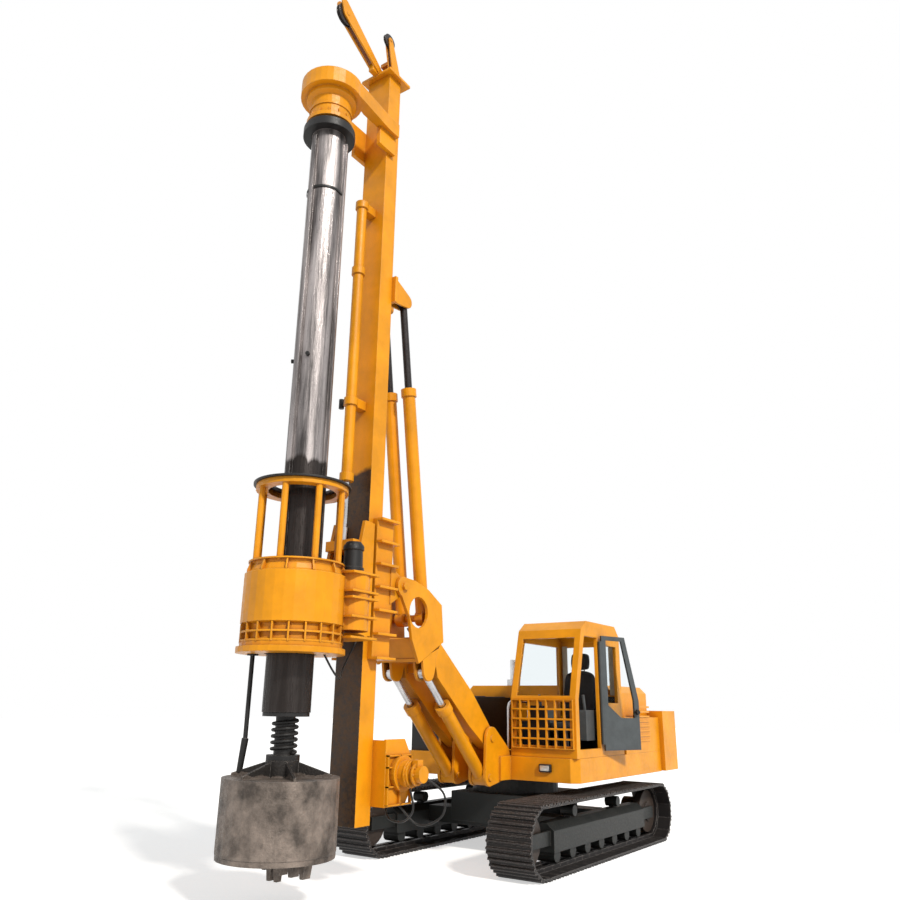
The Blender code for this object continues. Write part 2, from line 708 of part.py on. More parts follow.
def boom():
    """Two arms with cross boxes, and the head whose cheeks hold the mast pivot and the raking cylinders."""
    arm_view = [(-1.75, 1.66), (-2.48, 2.24), (-2.54, 2.45), (-2.43, 2.66), (-1.68, 2.08),
                *arc(BOOM_FOOT, 0.13, 50, -110)]
    cheek_view = [(-3.03, 2.66), (-2.88, 2.39), (-2.37, 2.68), (-2.42, 3.14), (-2.71, 3.30),
                  (-2.99, 3.38),
                  *arc(MAST_PIVOT, 0.12, 70, 250), (-3.09, 2.92)]
    head_hole = circle((-2.91, 3.0), 0.19)
    lug_view = hull(circle(LUFF_EYE, 0.11) + [(-2.45, 2.60), (-2.80, 2.46)])
    base = box("boom", (-ARM_INNER - 0.02, ARM_INNER + 0.02), (-2.45, -2.15), (2.30, 2.42))
    added = [box("web", (-ARM_INNER - 0.02, ARM_INNER + 0.02), (-1.85, -1.65), (1.82, 1.96))]
    step = 0.002  # keeps faces that would lie in one plane apart
    for side in (-1, 1):
        added.append(plate("arm", [arm_view], *sorted((side * ARM_INNER, side * ARM_OUTER))))
        low, high = sorted((side * (ARM_OUTER - CHEEK), side * (ARM_OUTER + step)))
        added.append(plate("cheek", [cheek_view, head_hole], low, high))
        added.append(across("mast_pin", MAST_PIVOT, PIN,
                            *sorted((side * 0.185, side * (ARM_OUTER + 0.04)))))
        for x in (ARM_INNER + step, ARM_OUTER - 0.035):
            low, high = sorted((side * x, side * (x + 0.033)))
            added.append(plate("lug", [lug_view], low, high))
    width = ARM_OUTER - CHEEK / 2
    floor_view = [(-2.88, 2.41), (-2.39, 2.69), (-2.41, 2.73), (-2.90, 2.45)]
    nose_view = [(-3.02, 2.68), (-2.87, 2.42), (-2.84, 2.44), (-2.98, 2.70)]
    added.append(plate("floor", [floor_view], -width, width))
    added.append(plate("nose", [nose_view], step - width, width - step))
    added.append(across("rake_pin", RAKE_FOOT, PIN, -width, width))
    made = combine(base, added)
    bores = [across("bore", BOOM_FOOT, bore_for(PIN), side * 0.25 - 0.1,
                    side * 0.25 + 0.1) for side in (-1, 1)]
    return cut(made, bores)


def cylinder_barrel(x, foot, eye, length, radius, rod_radius, eye_radius, eye_width):
    """A ram's barrel from its foot toward the eye: a drilled tube with a bored foot and a gland ring."""
    start, end = toward(foot, eye, eye_radius * 0.6), toward(foot, eye, length)
    gland = toward(foot, eye, length - 0.10)
    barrel = rod("barrel", (x, *start), (x, *end), radius)
    added = [across("foot", foot, eye_radius, x - eye_width / 2, x + eye_width / 2),
             rod("gland", (x, *gland), (x, *toward(foot, eye, length + 0.01)), radius + 0.018)]
    barrel = combine(barrel, added)
    bottom = toward(foot, eye, eye_radius + 0.08)
    drill = rod("drill", (x, *bottom), (x, *toward(foot, eye, length + 0.1)), rod_radius + RUN)
    bore = across("bore", foot, bore_for(PIN), x - eye_width, x + eye_width)
    return cut(barrel, [drill, bore])


def cylinder_rod(x, foot, eye, hidden, radius, eye_radius, eye_width):
    """A ram's rod, from inside its barrel to its eye."""
    start = toward(foot, eye, hidden)
    shaft = rod("rod", (x, *start), (x, *toward(foot, eye, math.dist(foot, eye) - eye_radius * 0.5)),
                radius)
    return combine(shaft, [across("eye", eye, eye_radius, x - eye_width / 2, x + eye_width / 2)])


def cylinders():
    luff_x = (ARM_INNER + ARM_OUTER) / 2
    for word, side in (("left", 1), ("right", -1)):
        barrel = cylinder_barrel(side * luff_x, LUFF_FOOT, LUFF_EYE, 1.28, 0.085, 0.045, 0.10,
                                 0.16 + 0.03 - 2 * SEAT)
        give("luff_barrels", f"luff_barrel_{word}", barrel, ORANGE)
        ram = cylinder_rod(side * luff_x, LUFF_FOOT, LUFF_EYE, 0.50, 0.045, 0.09,
                           ARM_OUTER - ARM_INNER - 0.07 - 2 * SEAT)
        give("luff_rods", f"luff_rod_{word}", ram, CHROME)
        x = side * RAKE_HALF_GAUGE
        barrel = cylinder_barrel(x, RAKE_FOOT, RAKE_EYE, 3.02, 0.085, 0.05, 0.10, 0.12)
        give("rake_barrels", f"rake_barrel_{word}", barrel, ORANGE)
        ram = cylinder_rod(x, RAKE_FOOT, RAKE_EYE, 2.20, 0.05, 0.085, RAKE_FORK - 2 * SEAT)
        give("rake_rods", f"rake_rod_{word}", ram, CHROME)


# ---------------------------------------------------------------- mast


def mast_column():
    """The box column, open at both ends, with the front guide rail."""
    half = MAST_HALF_WIDTH
    outer = [(-half, MAST_FRONT), (half, MAST_FRONT), (half, MAST_REAR), (-half, MAST_REAR)]
    wall = MAST_WALL
    inner = [(-half + wall, MAST_FRONT + wall), (half - wall, MAST_FRONT + wall),
             (half - wall, MAST_REAR - wall),
             (-half + wall, MAST_REAR - wall)]
    return plate("mast", [outer, inner], MAST_BOTTOM, MAST_TOP, "Z")


def mast_cradle():
    """The ribbed saddle round the mast's sides and back, with the lugs of the mast pivot."""
    half = CRADLE_HALF_WIDTH
    inner = MAST_HALF_WIDTH + SEAT
    back = MAST_REAR + SEAT
    section = [(-half + 0.08, CRADLE_FRONT), (-inner, CRADLE_FRONT), (-inner, back), (inner, back),
               (inner, CRADLE_FRONT),
               (half - 0.08, CRADLE_FRONT), (half - 0.08, CRADLE_REAR - 0.03), (0.08 - half,
                                                                                CRADLE_REAR - 0.03)]
    step = 0.002  # keeps faces that would lie in one plane apart
    rib = [(-half, CRADLE_FRONT + step), (-inner - step, CRADLE_FRONT + step),
           (-inner - step, back + step),
           (inner + step, back + step), (inner + step, CRADLE_FRONT + step), (half,
                                                                              CRADLE_FRONT + step),
           (half, CRADLE_REAR), (-half, CRADLE_REAR)]
    base = plate("cradle", [section], CRADLE_BOTTOM + 0.005, CRADLE_TOP - 0.005, "Z")
    ribs = 7
    added = []
    for i in range(ribs):
        z = CRADLE_BOTTOM + 0.015 + (CRADLE_TOP - CRADLE_BOTTOM - 0.03) * i / (ribs - 1)
        added.append(plate("rib", [rib], z - 0.015, z + 0.015, "Z"))
    lug_view = hull(circle(MAST_PIVOT, 0.10) + [(-3.42, 3.05), (-3.42, 3.50)])
    bores = []
    for side in (-1, 1):
        low, high = sorted((side * 0.20, side * (ARM_OUTER - CHEEK - 0.006)))
        added.append(plate("lug", [lug_view], low, high))
        bores.append(across("bore", MAST_PIVOT, bore_for(PIN), low - 0.02, high + 0.02))
    return combine(combine(base, added, solver="MANIFOLD"), bores, "DIFFERENCE", "MANIFOLD")


def rake_bracket():
    """The box bracket on the mast's back that holds the upper eyes of the raking cylinders."""
    low, high = RAKE_EYE[1] - 0.14, RAKE_EYE[1] + 0.24
    rear = MAST_REAR + SEAT
    base = box("bracket", (-0.26, 0.26), (rear, rear + 0.05), (low, high))
    view = hull(circle(RAKE_EYE, 0.10) + [(rear + 0.02, low), (rear + 0.02, high)])
    added = []
    for side in (-1, 1):
        for offset in (-RAKE_FORK / 2 - 0.025, RAKE_FORK / 2):
            x = side * RAKE_HALF_GAUGE + offset
            added.append(plate("lug", [view], x, x + 0.025))
    return combine(base, added)


def winch_frame():
    """Two side plates on a back plate, bored for the drum's shaft."""
    y, z = WINCH_AXIS
    back = MAST_REAR + SEAT
    half = WINCH_HALF_WIDTH
    view = [(back, z - 0.34), (y + 0.10, z - 0.34), (y + 0.20, z - 0.20), (y + 0.20, z + 0.18),
            (y + 0.08, z + 0.36), (back, z + 0.36)]
    base = box("winch_frame", (-half, half), (back, back + 0.015), (z - 0.33, z + 0.35))
    added = []
    bores = []
    for side in (-1, 1):
        low, high = sorted((side * half, side * (half + 0.03)))
        added.append(plate("side", [view], low, high))
        bores.append(across("bore", WINCH_AXIS, bore_for(0.06), low - 0.01, high + 0.01))
    added.append(box("foot", (-half - 0.01, half + 0.01), (back, y + 0.08), (z - 0.34, z - 0.31)))
    return cut(combine(base, added), bores)


def winch_drum():
    half = WINCH_HALF_WIDTH - SEAT
    core = across("drum", WINCH_AXIS, DRUM_RADIUS, -half + 0.01, half - 0.01)
    added = [across("shaft", WINCH_AXIS, 0.06, -half - 0.03, half + 0.03)]
    for side in (-1, 1):
        added.append(across("flange", WINCH_AXIS, DRUM_FLANGE,
                            *sorted((side * half, side * (half - 0.025)))))
    return combine(core, added)


def winch_motor():
    """The gearbox flange and the motor on the winch frame's left side."""
    face = WINCH_HALF_WIDTH + 0.03 + SEAT
    motor = across("motor", WINCH_AXIS, 0.19, face, face + 0.07)
    body_end = face + 0.34
    added = [across("gearbox", WINCH_AXIS, 0.14, face + 0.01, face + 0.20),
             across("drive", WINCH_AXIS, 0.09, face + 0.02, body_end)]
    return combine(motor, added)


CATHEAD_SHEAVE = (KELLY_Y + SHEAVE_RADIUS - 0.02, 11.20)
CATHEAD_TIP = (-4.63, 11.33)
AUX_SHEAVE = (-3.86, 11.20)


def cathead():
    """The mast's cap plate with the long front fork of the main sheave and a short arm for the second one."""
    plate_x, front, rear = 0.27, MAST_FRONT - 0.08, MAST_REAR + 0.14
    base = box("cathead", (-plate_x, plate_x), (front, rear), (MAST_TOP + SEAT, MAST_TOP + 0.04))
    fork = SHEAVE_WIDTH / 2 + SEAT
    foot = [(MAST_FRONT - 0.06, MAST_TOP + 0.02), (MAST_FRONT + 0.12, MAST_TOP + 0.02)]
    arm = hull(circle(CATHEAD_TIP, 0.07) + circle(CATHEAD_SHEAVE, 0.09) + foot)
    added = []
    for side in (-1, 1):
        low, high = sorted((side * fork, side * (fork + 0.025)))
        added.append(plate("fork", [arm], low, high))
    added.append(box("spine", (-fork - 0.01, fork + 0.01), (-3.98, -3.72),
                     (MAST_TOP + 0.015, MAST_TOP + 0.14)))
    added.append(across("pin", CATHEAD_SHEAVE, 0.03, -fork - 0.03, fork + 0.03, 20))
    half = 0.04 / 2 + SEAT
    short = hull(circle(AUX_SHEAVE, 0.045) + [(-3.80, MAST_TOP + 0.02), (-3.62, MAST_TOP + 0.02)])
    for low, high in ((AUX_X - half - 0.02, AUX_X - half), (AUX_X + half, AUX_X + half + 0.02)):
        added.append(plate("short", [short], low, high))
    added.append(across("short_pin", AUX_SHEAVE, 0.02, AUX_X - half - 0.03, AUX_X + half + 0.03, 20))
    tie_y, tie_z = -3.78, MAST_TOP + 0.20
    added.append(box("tie", (fork + 0.01, AUX_X - half - 0.01), (tie_y - 0.03, tie_y + 0.03),
                     (tie_z - 0.03, tie_z + 0.03)))
    return combine(base, added, solver="MANIFOLD")


def sheave(at, x, radius, width, pin):
    """A grooved wheel bored for its pin."""
    half = width / 2 - SEAT
    wheel = across("sheave", at, radius, x - half, x - half * 0.6)
    middle = across("web", at, radius * 0.86, x - half * 0.7, x + half * 0.7)
    other = across("rim", at, radius, x + half * 0.6, x + half)
    return cut(combine(wheel, [middle, other]), [across("bore", at, bore_for(pin, 20), x - 0.1,
                                                        x + 0.1, 20)])


def crowd_barrel():
    """The crowd cylinder's drilled barrel in front of the mast, on two brackets."""
    at = (0, CROWD_Y)
    barrel = rod("crowd", (*at, CROWD_GLAND), (*at, CROWD_HEAD), CROWD_BARREL_RADIUS)
    added = []
    for z in (CROWD_GLAND + 0.01, 5.45, 7.30, CROWD_HEAD - 0.11):
        added.append(rod("collar", (*at, z), (*at, z + 0.10), CROWD_BARREL_RADIUS + 0.02))
    for z in (5.44, CROWD_HEAD - 0.13):
        added.append(box("bracket", (-0.06, 0.06), (CROWD_Y, MAST_FRONT - SEAT), (z, z + 0.12)))
    drill = rod("drill", (*at, CROWD_GLAND - 0.1), (*at, CROWD_HEAD - 0.12), CROWD_ROD_RADIUS + RUN)
    return cut(combine(barrel, added), [drill])


def mast():
    give("mast", "mast_column", mast_column(), ORANGE)
    give("mast", "mast_cradle", mast_cradle(), ORANGE)
    give("mast", "rake_bracket", rake_bracket(), ORANGE)
    give("mast", "winch_frame", winch_frame(), ORANGE)
    give("mast", "winch_motor", winch_motor(), GREY)
    give("mast", "cathead", cathead(), ORANGE)
    give("mast", "crowd_barrel", crowd_barrel(), ORANGE)
    give("winch_drum", "winch_drum", winch_drum(), BLACK)
    give("main_sheave", "main_sheave", sheave(CATHEAD_SHEAVE, 0, SHEAVE_RADIUS, SHEAVE_WIDTH, 0.03),
         GREY)
    give("aux_sheave", "aux_sheave", sheave(AUX_SHEAVE, AUX_X, AUX_SHEAVE_RADIUS, 0.04, 0.02), GREY)


# ---------------------------------------------------------------- rotary drive

HOUSING_BACK = -4.05
MOTOR_X, MOTOR_Y = 0.40, -4.25
PINION_TOP = HOUSING_TOP - 0.002


def rotary_housing():
    """The gear housing round the drive sleeve, with the pinion boxes and the flat seat of the sledge."""
    at = (0, KELLY_Y)
    bore = SLEEVE_OUTER + RUN
    low, high = HOUSING_BOTTOM + SEAT, HOUSING_TOP
    profile = [(bore, high), (HOUSING_RADIUS - 0.06, high), (HOUSING_RADIUS - 0.04, high - 0.06),
               (HOUSING_RADIUS, high - 0.08),
               (HOUSING_RADIUS, low + 0.24), (HOUSING_RADIUS - 0.05,
                                              low + 0.22), (HOUSING_RADIUS - 0.05, low + 0.08),
               (HOUSING_RADIUS - 0.01, low + 0.05), (HOUSING_RADIUS - 0.01, low), (bore, low)]
    ring = turned("housing", profile, at)
    added = [box("back", (-0.30, 0.30), (HOUSING_BACK - 0.35, HOUSING_BACK), (2.70, 3.20))]
    for side in (-1, 1):
        spot = (side * MOTOR_X, MOTOR_Y)
        added.append(rod("pinion", (*spot, 2.66), (*spot, PINION_TOP), 0.20))
    return cut(combine(ring, added), [rod("clear", (*at, 2.3), (*at, 3.6), bore, 32)])


def rotary_motor(side):
    spot = (side * MOTOR_X, MOTOR_Y)
    base = PINION_TOP + SEAT
    motor = rod("motor", (*spot, base), (*spot, base + 0.10), 0.12, 24)
    head = rod("head", (*spot, base + 0.02), (*spot, base + 0.34), 0.095, 24)
    return combine(motor, [head])


def rotary_cage():
    """The ring guard on the housing: a base ring, upright posts and a wide top ring."""
    at = (0, KELLY_Y)
    low = HOUSING_TOP + SEAT
    inner = SLEEVE_OUTER + 0.05
    base = turned("cage", [(inner, low + 0.05), (CAGE_RADIUS - 0.03, low + 0.05),
                           (CAGE_RADIUS - 0.03, low), (inner, low)], at)
    top = [(inner, CAGE_TOP), (CAGE_RADIUS, CAGE_TOP), (CAGE_RADIUS, CAGE_TOP - 0.06),
           (inner, CAGE_TOP - 0.06)]
    added = [turned("top", top, at)]
    middle = (inner + CAGE_RADIUS) / 2 + 0.02
    for i in range(CAGE_POSTS):
        angle = 2 * math.pi * (i + 0.5) / CAGE_POSTS
        spot = (middle * math.cos(angle), KELLY_Y + middle * math.sin(angle))
        added.append(rod("post", (*spot, low + 0.02), (*spot, CAGE_TOP - 0.03), 0.036, 8))
    return combine(base, added)


def rotary_sledge():
    """The carriage on the mast: a face plate, two tall tapered cheeks and claws beside the column."""
    front = HOUSING_BACK + SEAT
    rear = MAST_FRONT - SEAT
    side_x = MAST_HALF_WIDTH + 0.005
    face = box("sledge", (-side_x - CLAW, side_x + CLAW), (rear - SLEDGE_PLATE, rear),
               (SLEDGE_BOTTOM, 3.40))
    view = [(front, SLEDGE_BOTTOM + 0.05), (rear, SLEDGE_BOTTOM), (rear, SLEDGE_TOP),
            (rear - 0.12, SLEDGE_TOP), (front, 3.26)]
    added = []
    for side in (-1, 1):
        low, high = sorted((side * side_x, side * (side_x + CLAW)))
        added.append(plate("cheek", [view], low, high))
        added.append(box("claw", (low, high), (rear - 0.03, rear + 0.05),
                         (SLEDGE_BOTTOM + 0.01, SLEDGE_TOP - 0.01)))
    added.append(box("rod_seat", (-side_x - 0.01, side_x + 0.01), (CROWD_Y - 0.06, rear), (3.62, 3.74)))
    return combine(face, added)


def rotary():
    give("rotary", "rotary_housing", rotary_housing(), ORANGE)
    give("rotary", "rotary_sledge", rotary_sledge(), ORANGE)
    give("rotary", "rotary_cage", rotary_cage(), ORANGE)
    give("rotary", "rotary_motor_left", rotary_motor(1), BLACK)
    give("rotary", "rotary_motor_right", rotary_motor(-1), BLACK)
    ram = rod("crowd_rod", (0, CROWD_Y, 3.74 + SEAT), (0, CROWD_Y, 7.60), CROWD_ROD_RADIUS)
    give("rotary", "crowd_rod", combine(ram, [rod("nut", (0, CROWD_Y, 3.74 + SEAT), (0, CROWD_Y, 3.90),
                                                  0.06)]), CHROME)
    low = HOUSING_BOTTOM
    sleeve = [(SLEEVE_BORE, HOUSING_TOP + 0.03), (SLEEVE_OUTER, HOUSING_TOP + 0.03),
              (SLEEVE_OUTER, low),
              (SLEEVE_FLANGE, low), (SLEEVE_FLANGE, low - 0.06), (SLEEVE_BORE, low - 0.06)]
    give("drive_sleeve", "drive_sleeve", turned("sleeve", sleeve, (0, KELLY_Y)), BLACK)


# ---------------------------------------------------------------- kelly bar and bucket


def kelly_guide():
    """The guide arm: a round housing on the kelly and a thick fork that slides on the mast's front."""
    at = (0, KELLY_Y)
    bore = OUTER_RADIUS + RUN
    housing = turned("guide", [(bore, GUIDE_TOP), (GUIDE_RADIUS + 0.14, GUIDE_TOP),
                               (GUIDE_RADIUS + 0.14, GUIDE_ARM),
                               (GUIDE_RADIUS + 0.06, GUIDE_ARM),
                               (GUIDE_RADIUS + 0.06, GUIDE_ARM - 0.06), (GUIDE_RADIUS,
                                                                         GUIDE_ARM - 0.09), (GUIDE_RADIUS, GUIDE_BOTTOM + 0.06), (GUIDE_RADIUS + 0.04, GUIDE_BOTTOM + 0.06),
                               (GUIDE_RADIUS + 0.04, GUIDE_BOTTOM), (bore, GUIDE_BOTTOM)], at)
    inner = MAST_HALF_WIDTH + SEAT
    outer = inner + 0.12
    tip = MAST_FRONT + 0.12
    added = []
    for side in (-1, 1):
        arm = [(side * inner, -4.30), (side * inner, tip), (side * outer, tip), (side * outer, -3.88),
               (side * 0.40, KELLY_Y),
               (side * 0.24, KELLY_Y), (side * 0.24, KELLY_Y + 0.24)]
        added.append(plate("arm", [arm if side > 0 else arm[::-1]], GUIDE_ARM + 0.002,
                           GUIDE_TOP - 0.002, "Z"))
        low, high = sorted((side * inner, side * (inner + 0.06)))
        added.append(box("shoe", (low, high), (MAST_FRONT - 0.22, tip - 0.002),
                         (9.30, GUIDE_ARM + 0.03)))
    return cut(combine(housing, added), [rod("clear", (*at, 9.0), (*at, 10.2), bore, 32)])


def kelly_outer():
    """The outer kelly tube with three drive keys, the stop ring, the dark lower collar and the top collar."""
    at = (0, KELLY_Y)
    ring_top = GUIDE_BOTTOM - 0.06
    top = GUIDE_TOP + 0.12
    seat = GUIDE_TOP + SEAT
    profile = [(OUTER_BORE, top), (0.265, top), (0.265, seat), (OUTER_RADIUS, seat),
               (OUTER_RADIUS, ring_top), (0.33, ring_top),
               (0.33, ring_top - 0.10), (OUTER_RADIUS, ring_top - 0.10), (OUTER_RADIUS, 2.44), (0.25,
                                                                                                2.40),
               (0.25, OUTER_BOTTOM), (OUTER_BORE, OUTER_BOTTOM)]
    pipe = turned("outer", profile, at)
    keys = []
    for i in range(3):
        angle = 2 * math.pi * i / 3 + math.radians(30)
        key = box("key", (OUTER_RADIUS - 0.012, KEY_RADIUS), (-0.03, 0.03), (2.50, ring_top - 0.20))
        key.data.transform(Matrix.Translation((*at, 0)) @ Matrix.Rotation(angle, 4, "Z"))
        keys.append(key)
    return combine(pipe, keys)


def kelly_inner():
    """The inner bar with its stop plate, thin spring stem and foot, and the rope eye on top."""
    at = (0, KELLY_Y)
    plate_top = OUTER_BOTTOM - SEAT
    foot = SOCKET_TOP + SEAT
    top = GUIDE_TOP + 0.12
    profile = [(0, top), (INNER_RADIUS, top), (INNER_RADIUS, plate_top), (0.24, plate_top),
               (0.24, plate_top - 0.04),
               (STEM_RADIUS, plate_top - 0.04), (STEM_RADIUS, foot + 0.05), (0.17, foot + 0.05), (0.17,
                                                                                                  foot), (0, foot)]
    bar = turned("inner", profile, at, ring=False)
    eye = rod("eye", (-0.04, KELLY_Y, top + 0.05), (0.04, KELLY_Y, top + 0.05), 0.09, 20)
    return combine(bar, [eye])


def kelly_spring():
    """The damping spring round the stem, as its turned outer shape."""
    low, high = SOCKET_TOP + 0.05 + 2 * SEAT, OUTER_BOTTOM - 0.04 - 2 * SEAT
    inner = STEM_RADIUS + RUN
    coils = 5
    profile = [(inner, high)]
    for i in range(coils):
        top = high - (high - low) * i / coils
        bottom = high - (high - low) * (i + 1) / coils
        profile += [(inner + 0.008, top - 0.001), (inner + 0.034, top - (top - bottom) * 0.3),
                    (inner + 0.034, top - (top - bottom) * 0.7), (inner + 0.008, bottom + 0.001)]
    profile.append((inner, low))
    return turned("spring", profile, (0, KELLY_Y), 16)


HINGE = (KELLY_Y + BUCKET_RADIUS + 0.035, BUCKET_BOTTOM + 0.02)


def bucket():
    """The open-bottomed drum with its gusseted crown, kelly box and the ears of the flap's hinge."""
    at = (0, KELLY_Y)
    inner = BUCKET_RADIUS - BUCKET_WALL
    profile = [(0, SOCKET_TOP), (0.17, SOCKET_TOP), (0.17, BUCKET_TOP), (BUCKET_RADIUS, BUCKET_TOP),
               (BUCKET_RADIUS, BUCKET_BOTTOM),
               (inner, BUCKET_BOTTOM), (inner, BUCKET_TOP - 0.04), (0, BUCKET_TOP - 0.04)]
    drum = turned("bucket", profile, at, ring=False)
    added = []
    gusset = [(0.10, BUCKET_TOP - 0.02), (0.52, BUCKET_TOP - 0.02), (0.52, BUCKET_TOP + 0.03),
              (0.18, SOCKET_TOP - 0.02),
              (0.10, SOCKET_TOP - 0.02)]
    for i in range(6):
        fin = plate("fin", [gusset], -0.012, 0.012, "Y")
        fin.data.transform(Matrix.Translation((*at, 0)) @ Matrix.Rotation(math.pi * (i + 0.5) / 3, 4,
                                                                          "Z"))
        added.append(fin)
    ear = hull(circle(HINGE, 0.035, 16) + [(KELLY_Y + inner + 0.005, BUCKET_BOTTOM + 0.03),
                                           (KELLY_Y + inner + 0.005, BUCKET_BOTTOM + 0.14)])
    for side in (-1, 1):
        low, high = sorted((side * 0.10, side * 0.14))
        added.append(plate("ear", [ear], low, high))
    added.append(across("pin", HINGE, 0.018, -0.15, 0.15, 16))
    return combine(drum, added)


def bucket_flap():
    """The hinged floor with its cutting teeth, the two pilot prongs and the hinge tongue."""
    at = (0, KELLY_Y)
    top = BUCKET_BOTTOM - SEAT
    floor = rod("flap", (*at, top - FLAP), (*at, top), BUCKET_RADIUS - 0.005, 32)
    added = []
    for side in (-1, 1):
        for i in range(3):
            x = side * (0.16 + 0.15 * i)
            tip = top - FLAP - 0.13
            tooth = [(x - 0.045, top - FLAP + 0.01), (x - 0.02, tip), (x + 0.02, tip),
                     (x + 0.045, top - FLAP + 0.01)]
            y = KELLY_Y - side * 0.05
            added.append(plate("tooth", [tooth], y - 0.05, y + 0.05, "Y"))
    for side in (-1, 1):
        x = side * 0.05
        prong = [(x - 0.05, top - FLAP + 0.01), (x - 0.02, TOOTH_TIP), (x + 0.02, TOOTH_TIP),
                 (x + 0.05, top - FLAP + 0.01)]
        added.append(plate("prong", [prong], KELLY_Y - 0.03, KELLY_Y + 0.03, "Y"))
    tongue = hull(circle(HINGE, 0.034, 16) + [(HINGE[0] - 0.12, top - FLAP + 0.005),
                                              (HINGE[0] - 0.08, top - FLAP + 0.005)])
    added.append(plate("tongue", [tongue], -0.095, 0.095))
    made = combine(floor, added)
    return cut(made, [across("bore", HINGE, bore_for(0.018, 16), -0.12, 0.12, 16),
                      box("slot", (-0.096, 0.096), (KELLY_Y + BUCKET_RADIUS - BUCKET_WALL - 0.035,
                                                    KELLY_Y + BUCKET_RADIUS + 0.012),
                          (BUCKET_BOTTOM - SEAT, BUCKET_BOTTOM + 0.2))])


def tool_string():
    give("guide_arm", "kelly_guide", kelly_guide(), ORANGE)
    give("outer_kelly", "kelly_outer", kelly_outer(), WORN_STEEL)
    give("inner_kelly", "kelly_inner", kelly_inner(), WORN_STEEL)
    give("inner_kelly", "kelly_spring", kelly_spring(), WORN_STEEL)
    give("inner_kelly", "bucket", bucket(), WORN_STEEL)
    give("bucket_flap", "bucket_flap", bucket_flap(), WORN_STEEL)


def build():
    body("undercarriage", None, (SLEW_X, SLEW_Y, 0))
    body("upper", "undercarriage", (0, 0, DECK_BOTTOM))
    body("cab_door", "upper", (DOOR_HINGE_X, DOOR_HINGE_Y, CAB_SILL))
    body("boom", "upper", (0, *BOOM_FOOT))
    body("luff_barrels", "upper", (0, *LUFF_FOOT))
    body("luff_rods", "luff_barrels", (0, *LUFF_EYE))
    body("rake_barrels", "boom", (0, *RAKE_FOOT))
    body("rake_rods", "rake_barrels", (0, *RAKE_EYE))
    body("mast", "boom", (0, *MAST_PIVOT))
    body("winch_drum", "mast", (0, *WINCH_AXIS))
    body("main_sheave", "mast", (0, *CATHEAD_SHEAVE))
    body("aux_sheave", "mast", (AUX_X, *AUX_SHEAVE))
    body("rotary", "mast", (0, CROWD_Y, HOUSING_BOTTOM))
    body("drive_sleeve", "rotary", (0, KELLY_Y, HOUSING_BOTTOM))
    body("guide_arm", "rotary", (0, KELLY_Y, GUIDE_BOTTOM))
    body("outer_kelly", "guide_arm", (0, KELLY_Y, GUIDE_TOP))
    body("inner_kelly", "outer_kelly", (0, KELLY_Y, OUTER_BOTTOM))
    body("bucket_flap", "inner_kelly", (0, *HINGE))
    undercarriage()
    upper()
    cab()
    boom_piece = boom()
    give("boom", "boom", boom_piece, ORANGE)
    cylinders()
    mast()
    rotary()
    tool_string()


build()
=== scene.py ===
import math

import bmesh
import bpy
from mathutils import Matrix, Vector


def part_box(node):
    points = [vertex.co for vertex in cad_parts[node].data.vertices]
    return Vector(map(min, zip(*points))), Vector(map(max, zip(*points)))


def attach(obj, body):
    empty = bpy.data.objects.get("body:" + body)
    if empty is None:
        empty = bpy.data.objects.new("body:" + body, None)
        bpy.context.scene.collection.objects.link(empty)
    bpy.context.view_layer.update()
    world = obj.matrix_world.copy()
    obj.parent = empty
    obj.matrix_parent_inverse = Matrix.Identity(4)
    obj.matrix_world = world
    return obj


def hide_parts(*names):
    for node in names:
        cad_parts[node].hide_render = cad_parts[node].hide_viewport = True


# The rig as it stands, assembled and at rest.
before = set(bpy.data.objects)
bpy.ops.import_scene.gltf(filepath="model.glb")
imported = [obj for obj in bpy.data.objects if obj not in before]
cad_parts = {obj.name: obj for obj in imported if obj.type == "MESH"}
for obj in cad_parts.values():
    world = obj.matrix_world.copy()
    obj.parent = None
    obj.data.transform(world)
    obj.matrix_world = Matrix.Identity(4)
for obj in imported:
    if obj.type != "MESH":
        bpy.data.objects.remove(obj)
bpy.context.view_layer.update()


# Ground, sky and lamps. The rig stands on a plain pale yard; the sun comes from its own left
# front, high up, and a wide soft sky fills the shaded faces.
def seen_directly(tree):
    """1 for rays of the camera, of a reflection or through glass, 0 for those that only light."""
    path = tree.nodes.new("ShaderNodeLightPath")
    total = path.outputs["Is Camera Ray"]
    for kind in ("Is Glossy Ray", "Is Transmission Ray"):
        add = tree.nodes.new("ShaderNodeMath")
        add.operation = "ADD"
        add.use_clamp = True
        tree.links.new(total, add.inputs[0])
        tree.links.new(path.outputs[kind], add.inputs[1])
        total = add.outputs[0]
    return total


def by_ray(tree, lit, seen, output):
    """Lights the rig with one shader and shows the other to the camera, in metal and through glass."""
    mix = tree.nodes.new("ShaderNodeMixShader")
    out = tree.nodes.new(output)
    tree.links.new(seen_directly(tree), mix.inputs[0])
    tree.links.new(lit, mix.inputs[1])
    tree.links.new(seen, mix.inputs[2])
    tree.links.new(mix.outputs[0], out.inputs["Surface"])


SKY_LEVEL = 0.38
sky = bpy.data.worlds.new("sky")
bpy.context.scene.world = sky
sky.use_nodes = True
sky.node_tree.nodes.clear()
sky_soft = sky.node_tree.nodes.new("ShaderNodeBackground")
sky_soft.inputs["Color"].default_value = (0.93, 0.97, 1.0, 1.0)
sky_soft.inputs["Strength"].default_value = SKY_LEVEL
sky_white = sky.node_tree.nodes.new("ShaderNodeBackground")
sky_white.inputs["Color"].default_value = (1.0, 1.0, 1.0, 1.0)
sky_white.inputs["Strength"].default_value = 1.0
by_ray(sky.node_tree, sky_soft.outputs[0], sky_white.outputs[0], "ShaderNodeOutputWorld")

